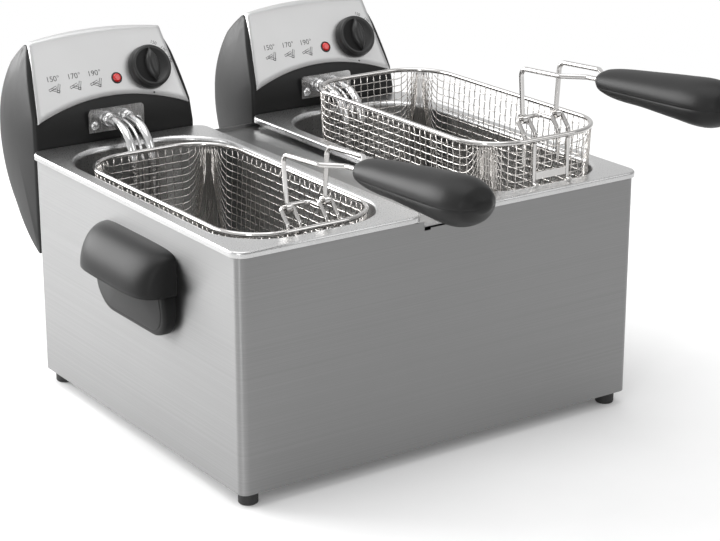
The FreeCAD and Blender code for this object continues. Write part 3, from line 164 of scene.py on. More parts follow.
def grey(level, warm=0.0):
    """A grey, with a little more red and less blue where warm."""
    return (level * (1 + warm), level, level * (1 - warm))


# Each material has a dark and a light colour, its least and most roughness, and its grain.
CASING = brushed("casing_steel", grey(0.25), grey(0.28), (0.34, 0.42))
FLANGE = metal("tank_steel", grey(0.54), grey(0.59), (0.26, 0.32), EVEN, microns=2, cloud=ROLLED)
# The centre bridge is the tanks' steel made much darker. This is painted shade between the tanks and a
# painted reflection of the dark grips.
BRIDGE_PAINTED_SHADE = metal("bridge_steel", grey(0.26), grey(0.31), (0.28, 0.36), LENGTHWAYS, microns=3, cloud=ROLLED)
SHEET = metal("base_steel", grey(0.48), grey(0.56), (0.34, 0.46), even(500), microns=10)
SCREW = metal("screw_steel", grey(0.55), grey(0.65), (0.18, 0.28), EVEN)
PLATE = metal("plate_steel", grey(0.58), grey(0.66), (0.20, 0.28), UPRIGHT, microns=3)
ELEMENT = metal("element_tube", grey(0.62), grey(0.70), (0.12, 0.20), even(300))
# The basket wire and mesh colours lean slightly warm. This is a painted reflection of golden fries.
WIRE = metal("basket_wire", grey(0.52, 0.02), grey(0.60, 0.02), (0.10, 0.16), even(400))
MESH = metal("basket_mesh", grey(0.58, 0.04), grey(0.68, 0.04), (0.12, 0.20), even(400))
HEAD = surface("head_plastic", grey(0.009), grey(0.012), (0.38, 0.46), FINE, microns=4, gloss=0.26)
HANDLE = surface("handle_plastic", grey(0.010), grey(0.013), (0.40, 0.48), FINE, microns=4, gloss=0.16)
INSERT = surface("insert_plastic", grey(0.024), grey(0.029), (0.55, 0.65), FINE, microns=10, gloss=0.3)
GRIP = surface("grip_plastic", grey(0.010), grey(0.013), (0.40, 0.48), FINE, microns=4, gloss=0.19)
KNOB = surface("knob_plastic", grey(0.010), grey(0.014), (0.30, 0.38), FINE, microns=3)
FASCIA = surface("fascia_silver", grey(0.55), grey(0.59), (0.38, 0.44), even(3200), microns=2, metallic=0.70)
MARKS = surface("fascia_print", grey(0.05), grey(0.07), (0.5, 0.6), even(1500))
LAMP = surface("lamp_red", (0.55, 0.008, 0.010), (0.68, 0.014, 0.014), (0.06, 0.12), even(60), coat=0.6)
RUBBER = surface("foot_rubber", grey(0.018), grey(0.030), (0.6, 0.8), EVEN, microns=30)
GLAND = surface("gland_rubber", grey(0.020), grey(0.034), (0.6, 0.8), EVEN, microns=30)
THERMOSTAT = metal("thermostat_metal", grey(0.55), grey(0.64), (0.28, 0.40), even(700))
SWITCH = surface("switch_plastic", grey(0.035), grey(0.05), (0.4, 0.5), even(1500), microns=10)
TERMINAL = surface("terminal_plastic", (0.52, 0.49, 0.42), (0.60, 0.57, 0.50), (0.45, 0.55), FINE)

NODE_MATERIALS = {
    "outer_casing": CASING, "base_plate": SHEET, "feet": RUBBER, "base_screws": SCREW,
    "centre_bridge": BRIDGE_PAINTED_SHADE, "rear_rails": SHEET, "handle_screws": SCREW, "side_handle": HANDLE,
    "handle_insert": INSERT, "tank": FLANGE,
    "head_housing": HEAD, "rear_cover": HEAD, "fascia": FASCIA, "pilot_lens": LAMP, "element_plate": PLATE,
    "heating_element": ELEMENT, "element_screws": SCREW, "thermostat": THERMOSTAT, "sensor_tube": ELEMENT,
    "thermal_cutout": THERMOSTAT, "safety_switch": SWITCH, "terminal_block": TERMINAL, "cord_gland": GLAND,
    "cover_screws": SCREW, "knob": KNOB, "thermostat_spindle": THERMOSTAT, "basket_rim": WIRE,
    "basket_mesh": MESH, "handle_bracket": WIRE, "drain_hook": WIRE, "handle_wire": WIRE, "grip_upper": GRIP,
    "grip_lower": GRIP,
}


def paint(thing, material):
    """Give an object one material."""
    if not thing.material_slots:
        thing.data.materials.append(material)
    for slot in thing.material_slots:
        slot.material = material


for name, node in nodes.items():
    kind = name.removesuffix("_left").removesuffix("_right")
    paint(node, NODE_MATERIALS[kind])


# Meshes

TURN_STEPS = 48


def finished_mesh(name, builder):
    """A mesh from a bmesh, with its faces turned outwards and shaded smooth."""
    bmesh.ops.recalc_face_normals(builder, faces=builder.faces)
    for face in builder.faces:
        face.smooth = True
    mesh = bpy.data.meshes.new(name)
    builder.to_mesh(mesh)
    builder.free()
    return mesh


def add_piece(name, builder, material, body, slot, *replaced):
    """Show a form drawn in millimetres as a piece of a body, in place of CAD nodes where some are named."""
    bmesh.ops.scale(builder, verts=builder.verts, vec=(MM, MM, MM))
    piece = bpy.data.objects.new(name, finished_mesh(name, builder))
    bpy.context.scene.collection.objects.link(piece)
    paint(piece, material)
    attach(piece, body)
    if replaced:
        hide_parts(*replaced)


def add_wire(builder, path, radius, sides):
    """A round wire along a list of points, with closed ends."""
    rings = []
    count = len(path)
    ahead = (path[1] - path[0]).normalized()
    across = ahead.orthogonal().normalized()
    for number, point in enumerate(path):
        back, forward = path[max(number - 1, 0)], path[min(number + 1, count - 1)]
        ahead = (forward - back).normalized()
        across = (across - ahead * across.dot(ahead)).normalized()
        upright = ahead.cross(across)
        ring = []
        for step in range(sides):
            angle = math.tau * step / sides
            offset = across * math.cos(angle) + upright * math.sin(angle)
            ring.append(builder.verts.new(point + offset * radius))
        rings.append(ring)
    for first, second in zip(rings, rings[1:]):
        for step in range(sides):
            following = (step + 1) % sides
            builder.faces.new((first[step], first[following], second[following], second[step]))
    builder.faces.new(rings[0])
    builder.faces.new(rings[-1])


def skin(builder, rows, closed):
    """Faces between rows of vertices. A row of one vertex is the tip of a fan."""
    for first, second in zip(rows, rows[1:]):
        count = max(len(first), len(second))
        for step in range(count if closed else count - 1):
            following = (step + 1) % count
            corners = [row[number % len(row)] for row, number in
                       ((first, step), (first, following), (second, following), (second, step))]
            builder.faces.new(dict.fromkeys(corners))


def lathe(builder, profile, place, steps=TURN_STEPS):
    """A turned form round the Z axis of a place, from (radius, height) pairs."""
    rows = []
    for radius, height in profile:
        turns = [math.tau * step / steps for step in range(steps)] if radius else [0.0]
        row = [Vector((radius * math.cos(turn), radius * math.sin(turn), height)) for turn in turns]
        rows.append([builder.verts.new(place @ point) for point in row])
    skin(builder, rows, True)


# Woven baskets

BASKET_HALF_WIDTH = 67.0
BASKET_FRONT, BASKET_BACK = -147.0, 119.1
BASKET_CORNER = 42.0
BASKET_TOP, BASKET_FLOOR = 207.6, 101.15
BASKET_DEPTH = BASKET_TOP - BASKET_FLOOR
BASKET_TAPER = 5.0
FLOOR_ROUND = 14.0
WALL_DROP = BASKET_DEPTH - FLOOR_ROUND
WEAVE_PITCH, ROW_PITCH = 7.6, 6.4
WEAVE_LIFT = 0.40
MESH_WIRE, MESH_SIDES = 0.42, 5
CORNER_X = BASKET_HALF_WIDTH - BASKET_CORNER
CORNER_FRONT = BASKET_FRONT + BASKET_CORNER
CORNER_BACK = BASKET_BACK - BASKET_CORNER

# Upright wires are gathered in a corner, these distances to either side of its middle.
GATHER_OFFSETS = (0.0, 1.2, 2.5, 3.9, 5.6, 8.0, 11.8, 17.6, 24.8)

# A level wire's end rises to the rim in so many steps, the faster the nearer the corner's middle.
RISE_STEPS, RISE_POWER = 12, 2.4


def wall_profile(travel):
    """How far in from the rim and how high the mesh is, a distance down the wall, and its outward tilt."""
    lean = BASKET_TAPER / BASKET_DEPTH
    if travel <= WALL_DROP:
        return lean * travel, BASKET_TOP - travel, 0.0
    angle = min((travel - WALL_DROP) / FLOOR_ROUND, RIGHT_ANGLE)
    inset = lean * WALL_DROP + FLOOR_ROUND * (1 - math.cos(angle))
    return inset, BASKET_FLOOR + FLOOR_ROUND * (1 - math.sin(angle)), angle


def tilted(outward, tilt):
    """A way out of a wall, turned down by a tilt."""
    return outward * math.cos(tilt) - Vector((0, 0, math.sin(tilt)))


def corner_point(corner, angle, travel, lift):
    """A point on a corner of the basket, lifted off the mesh's middle face."""
    inset, height, tilt = wall_profile(travel)
    sign_x, centre_y = corner
    outward = Vector((sign_x * math.cos(angle), math.sin(angle), 0.0))
    middle = Vector((sign_x * CORNER_X, centre_y, height))
    return middle + outward * (BASKET_CORNER - inset) + tilted(outward, tilt) * lift


def side_point(side, along, travel, lift):
    """A point on a straight wall. side is a unit vector out of the wall, along is x or y on it."""
    inset, height, tilt = wall_profile(travel)
    if side[0]:
        middle = Vector((side[0] * (BASKET_HALF_WIDTH - inset), along, height))
    else:
        reach = BASKET_FRONT + inset if side[1] < 0 else BASKET_BACK - inset
        middle = Vector((along, reach, height))
    return middle + tilted(Vector((*side, 0.0)), tilt) * lift


def evenly(low, high, pitch):
    """Places from low to high, a whole number of pitches apart."""
    count = round((high - low) / pitch)
    return [low + (high - low) * step / count for step in range(count + 1)]


def weave(row, column):
    """The side of the mesh that a wire passes on at a crossing."""
    return WEAVE_LIFT if (row + column) % 2 else -WEAVE_LIFT


def wall_rows():
    """How far down the wall each level wire is."""
    return evenly(0.0, WALL_DROP + FLOOR_ROUND * RIGHT_ANGLE, ROW_PITCH)


def crossing_wires(builder, places, floor_places, sides):
    """Wires that come down one wall, cross the floor and go up the opposite wall."""
    rows = wall_rows()
    for column, along in enumerate(places):
        path = [side_point(sides[0], along, travel, weave(row, column)) for row, travel in enumerate(rows)]
        for row, place in enumerate(floor_places):
            point = (place, along) if sides[0][0] else (along, place)
            path.append(Vector((*point, BASKET_FLOOR - weave(row, column))))
        back = [side_point(sides[1], along, travel, weave(row, column)) for row, travel in enumerate(rows)]
        path += back[::-1]
        add_wire(builder, path, MESH_WIRE, MESH_SIDES)


def rising_end(row, travel, corner, start, turn):
    """The end of a level wire, which rises towards the rim in a gathered corner."""
    end = []
    for step in range(1, RISE_STEPS + 1):
        share = step / RISE_STEPS
        risen = math.hypot(BASKET_DEPTH - travel, BASKET_DEPTH * share**RISE_POWER)
        if risen > BASKET_DEPTH:
            break
        angle = start + turn * share * math.pi / 4
        end.append(corner_point(corner, angle, BASKET_DEPTH - risen, -weave(row, step)))
    return end


def level_wires(builder, side, places, corners):
    """The level wires of a wall, each with an end in the corner to either side."""
    for row, travel in enumerate(wall_rows()[1:], start=1):
        straight = []
        for column, along in enumerate(places):
            straight.append(side_point(side, along, travel, -weave(row, column)))
        first, last = (rising_end(row, travel, *corner) for corner in corners)
        add_wire(builder, first[::-1] + straight + last, MESH_WIRE, MESH_SIDES)


def corner_wires(builder, corner, middle):
    """The upright wires that are gathered in a corner."""
    rows = wall_rows()
    for step, offset in enumerate(GATHER_OFFSETS):
        for sign in (1, -1) if offset else (1,):
            angle = middle + sign * offset / BASKET_CORNER
            path = [corner_point(corner, angle, travel, weave(row, step)) for row, travel in enumerate(rows)]
            add_wire(builder, path, MESH_WIRE, MESH_SIDES)


def basket_weave(side):
    """The woven wire bowl of one basket."""
    builder = bmesh.new()
    long_places = evenly(CORNER_FRONT, CORNER_BACK, WEAVE_PITCH)
    short_places = evenly(-CORNER_X, CORNER_X, WEAVE_PITCH)
    floor_inset = wall_profile(math.inf)[0]
    floor_half = BASKET_HALF_WIDTH - floor_inset
    across = evenly(-floor_half, floor_half, WEAVE_PITCH)[1:-1]
    lengthways = evenly(BASKET_FRONT + floor_inset, BASKET_BACK - floor_inset, WEAVE_PITCH)[1:-1]
    crossing_wires(builder, long_places, across, ((-1, 0), (1, 0)))
    crossing_wires(builder, short_places, lengthways, ((0, -1), (0, 1)))
    left_front, right_front = (-1, CORNER_FRONT), (1, CORNER_FRONT)
    left_back, right_back = (-1, CORNER_BACK), (1, CORNER_BACK)
    walls = (
        ((-1, 0), long_places, ((left_front, 0.0, -1), (left_back, 0.0, 1))),
        ((1, 0), long_places, ((right_front, 0.0, -1), (right_back, 0.0, 1))),
        ((0, -1), short_places, ((left_front, -RIGHT_ANGLE, 1), (right_front, -RIGHT_ANGLE, 1))),
        ((0, 1), short_places, ((left_back, RIGHT_ANGLE, -1), (right_back, RIGHT_ANGLE, -1))),
    )
    for wall in walls:
        level_wires(builder, *wall)
    for corner in (left_front, right_front):
        corner_wires(builder, corner, -RIGHT_ANGLE / 2)
    for corner in (left_back, right_back):
        corner_wires(builder, corner, RIGHT_ANGLE / 2)
    place = Vector((TANK_X[side], BASKET_Y[side], BASKET_Z[side]))
    bmesh.ops.translate(builder, verts=builder.verts, vec=place)
    add_piece(f"basket_weave_{side}", builder, MESH, f"{side}_basket", "basket_mesh", f"basket_mesh_{side}")


for side in SIDES:
    basket_weave(side)


# Control panels

# U is across a panel from its middle, and V is up its slope from its foot.
FASCIA_LOW, FASCIA_LOW_HALF = 3.7, 75.0
FASCIA_HIGH, FASCIA_HIGH_HALF = 73.7, 65.0
FASCIA_ARCH = 185.0
FASCIA_CROWN = 3.2
FASCIA_FACE = 1.2
FASCIA_EDGE = 0.4
FASCIA_SKIRT = 3.6
FASCIA_COLUMNS, FASCIA_ROWS = 20, 10
EDGE_COLUMN, EDGE_ROW = 0.995, 0.006
ROLL_RADIUS, ROLL_CROWN = 4.2, 3.0
ROLL_ANGLES = (15, 30, 45, 60, 75, 90)
KNOB_U, KNOB_V = 43.0, 39.5
KNOB_STEPS = 72
KNOB_PROFILE = ((0.0, 1.9), (19.2, 1.9), (19.9, 2.3), (20.0, 3.2), (19.5, 8.4), (19.0, 9.7), (18.0, 10.5),
                (16.6, 10.8), (15.4, 10.5), (14.8, 10.0), (0.0, 10.0))
KNOB_GRIP_HALF, KNOB_GRIP_WIDE, KNOB_GRIP_FOOT, KNOB_GRIP_TOP = 15.4, 6.6, 9.6, 16.4
KNOB_GRIP_STEPS = 24
KNOB_GRIP_END, KNOB_GRIP_FALL = 0.15, 0.55
KNOB_CREST_DROP, KNOB_SIDE_DROP = 1.6, 1.5
KNOB_SHOULDER_SHARE, KNOB_SIDE_SHARE = 0.62, 0.9
KNOB_GROOVE = 0.35
LAMP_U, LAMP_V = 10.0, 34.5
LAMP_RING = ((4.1, 1.0), (4.1, 1.9), (4.5, 2.1), (5.0, 1.9), (5.3, 1.2))

# Numbers round a knob at an angle, a pointer dot below it, and numbers across the panel.
DIAL_RADIUS, DIAL_SIZE = 25.0, 4.2
DIAL_NUMBERS = (("150", 62), ("170", 37), ("190", 12))
DOT_DROP, DOT_STEPS = 23.0, 16
DOT_PROFILE = ((0.9, -0.2), (0.9, 0.05), (0.0, 0.08))
FOOD_NUMBERS = (("150\u00b0", -51.0), ("170\u00b0", -30.5), ("190\u00b0", -10.5))
FOOD_SIZE = 7.0
NUMBER_V, ICON_V = 41.5, 32.0
PRINT_LIFT = 0.04
PRINT_LINE, PRINT_SIDES = 0.28, 4

# Each chip of a line drawing: its turn in degrees, and its place across and up.
CHIPS = ((20, -2.2, 1.0), (-25, 0.4, -1.0), (70, 3.4, 0.6))
CHIP_HALF_LENGTH, CHIP_HALF_WIDTH = 4.0, 0.9


def panel_place(side, across, up, out=0.0):
    """A place on a leaning panel: X across it, Y up its slope and Z out of it."""
    foot = Vector((TANK_X[side], PANEL_Y, PANEL_FOOT))
    panel = Matrix.Translation(foot) @ Matrix.Rotation(RIGHT_ANGLE - PANEL_LEAN, 4, "X")
    return panel @ Matrix.Translation((across, up, out))


def fascia_point(share_across, share_up, roll, sink):
    """A point of the front plate, which rolls back over the top of its head."""
    half = FASCIA_LOW_HALF * share_across
    bottom = FASCIA_LOW + math.sqrt(FASCIA_ARCH**2 - half**2) - math.sqrt(FASCIA_ARCH**2 - FASCIA_LOW_HALF**2)
    hump = 1 - share_across**2
    up = bottom + share_up * (FASCIA_HIGH + FASCIA_CROWN * hump - bottom)
    climb = (up - FASCIA_LOW) / (FASCIA_HIGH - FASCIA_LOW)
    across = share_across * (FASCIA_LOW_HALF + climb * (FASCIA_HIGH_HALF - FASCIA_LOW_HALF))
    radius = ROLL_RADIUS + ROLL_CROWN * hump
    reach = radius - sink
    return Vector((across, up + reach * math.sin(roll), FASCIA_FACE - radius + reach * math.cos(roll)))


def front_plate(side):
    """The satin front plate of one head."""
    builder = bmesh.new()
    place = panel_place(side, 0.0, 0.0)
    inner = [step / FASCIA_COLUMNS for step in range(1 - FASCIA_COLUMNS, FASCIA_COLUMNS)]
    columns = [-1.0, -EDGE_COLUMN, *inner, EDGE_COLUMN, 1.0]
    rows = [(0.0, 0.0), (EDGE_ROW, 0.0)]
    rows += [(step / FASCIA_ROWS, 0.0) for step in range(1, FASCIA_ROWS + 1)]
    rows += [(1.0, math.radians(angle)) for angle in ROLL_ANGLES]
    grid = []
    for up, roll in rows:
        at_foot = up == 0.0
        sinks = [FASCIA_EDGE if at_foot or abs(across) == 1.0 else 0.0 for across in columns]
        points = [fascia_point(across, up, roll, sink) for across, sink in zip(columns, sinks)]
        grid.append([builder.verts.new(place @ point) for point in points])
    skin(builder, grid, False)
    border = [grid[0], [row[-1] for row in grid], grid[-1][::-1], [row[0] for row in grid][::-1]]
    loop = [vertex for part in border for vertex in part[:-1]]
    inwards = place.to_3x3() @ Vector((0.0, 0.0, -FASCIA_SKIRT))
    foot = [builder.verts.new(vertex.co + inwards) for vertex in loop]
    skin(builder, [loop, foot], True)
    add_piece(f"front_plate_{side}", builder, FASCIA, f"{side}_head", "fascia_silver", f"fascia_{side}")


def add_print(builder, words, size, place):
    """Words that stand a hair proud of a panel."""
    curve = bpy.data.curves.new("words", "FONT")
    curve.body = words
    curve.size = size
    curve.align_x = "CENTER"
    curve.align_y = "CENTER"
    curve.extrude = PRINT_LIFT
    lettering = bpy.data.objects.new("words", curve)
    mesh = lettering.to_mesh()
    mesh.transform(place)
    builder.from_mesh(mesh)
    lettering.to_mesh_clear()
    bpy.data.objects.remove(lettering)
    bpy.data.curves.remove(curve)


def add_chips(builder, place):
    """A small line drawing of three chips that lie across each other."""
    signs = ((-1, -1), (1, -1), (1, 1), (-1, 1), (-1, -1))
    corners = [Vector((x * CHIP_HALF_LENGTH, y * CHIP_HALF_WIDTH, 0.0)) for x, y in signs]
    for turn, along, up in CHIPS:
        chip = place @ Matrix.Translation((along, up, 0.0)) @ Matrix.Rotation(math.radians(turn), 4, "Z")
        add_wire(builder, [chip @ corner for corner in corners], PRINT_LINE, PRINT_SIDES)


def panel_print(side):
    """The plain numbers, line drawings and pointer dot printed on one front plate."""
    builder = bmesh.new()
    for words, across in FOOD_NUMBERS:
        add_print(builder, words, FOOD_SIZE, panel_place(side, across, NUMBER_V, FASCIA_FACE))
        add_chips(builder, panel_place(side, across, ICON_V, FASCIA_FACE))
    dial = panel_place(side, KNOB_U, KNOB_V, FASCIA_FACE)
    for words, angle in DIAL_NUMBERS:
        turned = Matrix.Rotation(math.radians(angle - 90), 4, "Z")
        add_print(builder, words, DIAL_SIZE, dial @ turned @ Matrix.Translation((0.0, DIAL_RADIUS, 0.0)))
    dot = dial @ Matrix.Translation((0.0, -DOT_DROP, 0.0))
    lathe(builder, DOT_PROFILE, dot, DOT_STEPS)
    add_piece(f"panel_print_{side}", builder, MARKS, f"{side}_head", "head_plastic")


def knob_section(share):
    """The section of a knob's grip at a share of the way from its middle to its end: across and height."""
    half = KNOB_GRIP_WIDE * (1 - share**2) + KNOB_GRIP_END
    crest = KNOB_GRIP_FOOT + (KNOB_GRIP_TOP - KNOB_GRIP_FOOT) * (1 - share**4 * KNOB_GRIP_FALL)
    shoulder = crest - KNOB_CREST_DROP
    right = [(half, KNOB_GRIP_FOOT), (half * KNOB_SIDE_SHARE, shoulder - KNOB_SIDE_DROP),
             (half * KNOB_SHOULDER_SHARE, shoulder), (KNOB_GROOVE, crest)]
    left = [(-across, height) for across, height in right]
    return left + [(0.0, crest - KNOB_GROOVE)] + right[::-1]


def dial_knob(side):
    """One knob: a dished disc with a tall lens-shaped grip."""
    builder = bmesh.new()
    place = panel_place(side, KNOB_U, KNOB_V)
    lathe(builder, KNOB_PROFILE, place, KNOB_STEPS)
    rows = []
    for step in range(KNOB_GRIP_STEPS + 1):
        share = -1 + 2 * step / KNOB_GRIP_STEPS
        points = [Vector((across, share * KNOB_GRIP_HALF, height)) for across, height in knob_section(share)]
        rows.append([builder.verts.new(place @ point) for point in points])
    skin(builder, rows, False)
    for end in (rows[0], rows[-1]):
        builder.faces.new(end)
    add_piece(f"dial_knob_{side}", builder, KNOB, f"{side}_knob", "knob_plastic", f"knob_{side}")


def lamp_ring(side):
    """The dark ring round one pilot lamp."""
    builder = bmesh.new()
    lathe(builder, LAMP_RING, panel_place(side, LAMP_U, LAMP_V))
    add_piece(f"lamp_ring_{side}", builder, KNOB, f"{side}_head", "head_plastic")


# Control head housings

HEAD_FRONT_Y = PANEL_Y
HEAD_LOW, HEAD_KINK, HEAD_TOP = 115.5, PANEL_FOOT, 302.5
HEAD_DEPTH, HEAD_BULGE_Z, TOE_DEPTH = 81.5, 207.0, 4.0
HEAD_RIDGE_Y = HEAD_FRONT_Y + (HEAD_TOP - HEAD_KINK) * math.tan(PANEL_LEAN)
HEAD_BULGE = (HEAD_FRONT_Y + HEAD_DEPTH, HEAD_BULGE_Z)
HEAD_TOE = (HEAD_FRONT_Y + TOE_DEPTH, HEAD_LOW)
HEAD_HALF, HEAD_TOP_HALF, HEAD_SIDE_START = 80.0, 67.0, 205.0
HEAD_CROWN, CROWN_SHARE = 6.0, 1.1
SLOPE_OUT = (-math.cos(PANEL_LEAN), math.sin(PANEL_LEAN))
RIDGE_ROUND, RIDGE_LIFT = 9.0, 0.295
FRONT_EDGE, BACK_EDGE, BACK_EDGE_RUN = 4.0, 16.0, 90.0
THIN_SHARE = 0.3
EDGE_ANGLES = (90, 75, 60, 45, 30, 15, 0)
FACE_STEPS, SLOPE_STEPS, RIDGE_STEPS = 8, 10, 6
ABOVE_COVER_STEPS, COVER_STEPS, BELOW_COVER_STEPS = 6, 24, 4
COVER_HALF, COVER_LOW, COVER_HIGH = 58.3, 129.7, 276.3
COVER_COLUMNS, COVER_MARGIN = 4, 2.0
CHEEK_BULGE = 2.2
CHEEK_SHARES = (0.9, 0.75, 0.55, 0.3, 0.0)


def arc_through(first, second, third):
    """The middle and radius of the circle through three points of a plane."""
    (ax, ay), (bx, by), (cx, cy) = first, second, third
    scale = 2 * (ax * (by - cy) + bx * (cy - ay) + cx * (ay - by))
    a, b, c = ax**2 + ay**2, bx**2 + by**2, cx**2 + cy**2
    middle = ((a * (by - cy) + b * (cy - ay) + c * (ay - by)) / scale,
              (a * (cx - bx) + b * (ax - cx) + c * (bx - ax)) / scale)
    return middle, math.dist(middle, first)


def spaced(low, high, count):
    """Evenly spaced numbers from low, up to but not including high."""
    return [low + (high - low) * step / count for step in range(count)]


def head_front(middle, radius):
    """The upright face and the leaning slope of a head's side view, up to its ridge."""
    rows = []
    for height in spaced(HEAD_LOW, HEAD_KINK, FACE_STEPS):
        thick = middle[0] + math.sqrt(radius**2 - (height - middle[1])**2) - HEAD_FRONT_Y
        rows.append(((HEAD_FRONT_Y, height), (-1.0, 0.0), min(FRONT_EDGE, thick * THIN_SHARE)))
    slope = (HEAD_TOP - HEAD_KINK) / math.cos(PANEL_LEAN) - RIDGE_ROUND
    for step in range(1, SLOPE_STEPS + 1):
        rise = slope * step / SLOPE_STEPS
        point = (HEAD_FRONT_Y + rise * math.sin(PANEL_LEAN), HEAD_KINK + rise * math.cos(PANEL_LEAN))
        rows.append((point, SLOPE_OUT, FRONT_EDGE))
    return rows


def head_back(middle, radius, start):
    """The round back of a head's side view, from its ridge down to its toe."""
    high, low = (math.asin((height - middle[1]) / radius) for height in (COVER_HIGH, COVER_LOW))
    end = math.atan2(HEAD_TOE[1] - middle[1], HEAD_TOE[0] - middle[0])
    angles = spaced(start, high, ABOVE_COVER_STEPS) + spaced(high, low, COVER_STEPS)
    angles += spaced(low, end, BELOW_COVER_STEPS) + [end]
    rows = []
    for angle in angles:
        away = (math.cos(angle), math.sin(angle))
        point = (middle[0] + radius * away[0], middle[1] + radius * away[1])
        grown = FRONT_EDGE + (BACK_EDGE - FRONT_EDGE) * min((start - angle) * radius / BACK_EDGE_RUN, 1.0)
        rows.append((point, away, min(grown, (point[0] - HEAD_FRONT_Y) * THIN_SHARE)))
    return rows


def head_ridge(first, last, end):
    """The rounded ridge of a head's side view, between two points, up to the angle where the back starts."""
    start = math.atan2(SLOPE_OUT[1], SLOPE_OUT[0])
    rows = []
    for step in range(1, RIDGE_STEPS):
        share = step / RIDGE_STEPS
        angle = start + (end - start) * share
        away = (math.cos(angle), math.sin(angle))
        lift = RIDGE_ROUND * RIDGE_LIFT * math.sin(math.pi * share)
        y, z = (a + (b - a) * share for a, b in zip(first, last))
        rows.append(((y + away[0] * lift, z + away[1] * lift), away, FRONT_EDGE))
    return rows


def head_profile():
    """A head's side view, from its foot over the ridge to its toe: points, outward ways and edge radii."""
    middle, radius = arc_through((HEAD_RIDGE_Y, HEAD_TOP), HEAD_BULGE, HEAD_TOE)
    start = math.atan2(HEAD_TOP - middle[1], HEAD_RIDGE_Y - middle[0]) - RIDGE_ROUND / radius
    front = head_front(middle, radius)
    back = head_back(middle, radius, start)
    return front + head_ridge(front[-1][0], back[0][0], start) + back


def head_half(height):
    """Half a head's width at a height."""
    share = (height - HEAD_SIDE_START) / (HEAD_TOP - HEAD_CROWN - HEAD_SIDE_START)
    return HEAD_HALF - (HEAD_HALF - HEAD_TOP_HALF) * min(max(share, 0.0), CROWN_SHARE)**2


def crown_sag(across, height):
    """How far the crown of a head falls at a place across it."""
    share = min(max((height - COVER_HIGH) / (HEAD_TOP - COVER_HIGH), 0.0), 1.0)
    return HEAD_CROWN * (across / HEAD_TOP_HALF)**2 * share


def head_column(profile, across):
    """The side view again at a place across the head, level with the crown there."""
    return [Vector((across, y, z - crown_sag(across, z))) for (y, z), _, _ in profile]


def head_edge(profile, turn, sign):
    """The side view again, drawn in and moved out along the rounded edge by a turn."""
    ring = []
    for (y, z), away, edge in profile:
        drawn = edge * (1 - math.cos(turn))
        x = head_half(z) - edge * (1 - math.sin(turn))
        ring.append(Vector((sign * x, y - away[0] * drawn, z - away[1] * drawn - crown_sag(x, z))))
    return ring


def in_cover(points):
    """Whether a face lies where the rear cover sits."""
    middle = sum(points, Vector()) / len(points)
    level = COVER_LOW < middle.z < COVER_HIGH
    return level and middle.y > HEAD_RIDGE_Y + COVER_MARGIN and abs(middle.x) < COVER_HALF


def head_cheek(builder, rim, middle, sign):
    """A slightly bulging side of a head, from its rim to a tip in the middle."""
    rings = [rim]
    for share in CHEEK_SHARES:
        ring = []
        for vertex in rim if share else rim[:1]:
            point = middle + (vertex.co - middle) * share
            point.x = sign * (head_half(point.z) + CHEEK_BULGE * (1 - share**2))
            ring.append(builder.verts.new(point))
        rings.append(ring)
    skin(builder, rings, True)


def head_shell(side):
    """The moulded housing of one head, open where its rear cover sits."""
    builder = bmesh.new()
    profile = head_profile()
    turns = [math.radians(angle) for angle in EDGE_ANGLES]
    left = [head_edge(profile, turn, -1) for turn in turns]
    right = [head_edge(profile, turn, 1) for turn in turns[::-1]]
    steps = range(-COVER_COLUMNS, COVER_COLUMNS + 1)
    inner = [head_column(profile, COVER_HALF * step / COVER_COLUMNS) for step in steps]
    grid = [[builder.verts.new(point) for point in column] for column in left + inner + right]
    for first, second in zip(grid, grid[1:]):
        for step in range(len(first)):
            following = (step + 1) % len(first)
            corners = (first[step], first[following], second[following], second[step])
            if not in_cover([corner.co for corner in corners]):
                builder.faces.new(corners)
    middle = sum((vertex.co for vertex in grid[0]), Vector()) / len(grid[0])
    for rim, sign in ((grid[0], -1), (grid[-1], 1)):
        head_cheek(builder, rim, middle, sign)
    bmesh.ops.translate(builder, verts=builder.verts, vec=(TANK_X[side], 0.0, 0.0))
    add_piece(f"head_shell_{side}", builder, HEAD, f"{side}_head", "head_plastic", f"head_housing_{side}")


# Side handles

CASE_HALF = 195.0
HOOD_FORWARD = 16.5
HOOD_Y = CASE_Y - HOOD_FORWARD
HOOD_HALF, HOOD_REACH, HOOD_WALL = 60.0, 32.0, 3.4
HOOD_TOP, HOOD_LIP = 184.4, 149.4
HOOD_SQUARE, HOOD_DROP, HOOD_SWELL = 4.5, 0.28, 0.9
HOOD_COLUMNS, HOOD_ROWS = 48, 16
PAD_HALF, PAD_TOP, PAD_LOW, PAD_CORNER = 57.0, 156.0, 110.4, 24.0
PAD_REACH, PAD_FOOT_REACH, PAD_EDGE = 13.0, 9.0, 3.5
PAD_CORNER_STEPS = 8
INSERT_INSET, INSERT_PROUD = 5.0, 0.7
INSERT_ROOT, INSERT_SIDE, INSERT_BEVEL = 1.0, 0.3, 0.5

# A pad's rounded edge, and the insert on its face: in from the edge, share of the way out, and lift.
PAD_LOOPS = ((0.0, 0.0, 0.0), (0.0, 1.0, -PAD_EDGE), (0.1 * PAD_EDGE, 1.0, -0.45 * PAD_EDGE),
             (0.4 * PAD_EDGE, 1.0, -0.1 * PAD_EDGE), (PAD_EDGE, 1.0, 0.0))
INSERT_LOOPS = ((INSERT_INSET, 1.0, -INSERT_ROOT), (INSERT_INSET, 1.0, INSERT_SIDE),
                (INSERT_INSET + INSERT_BEVEL, 1.0, INSERT_PROUD))


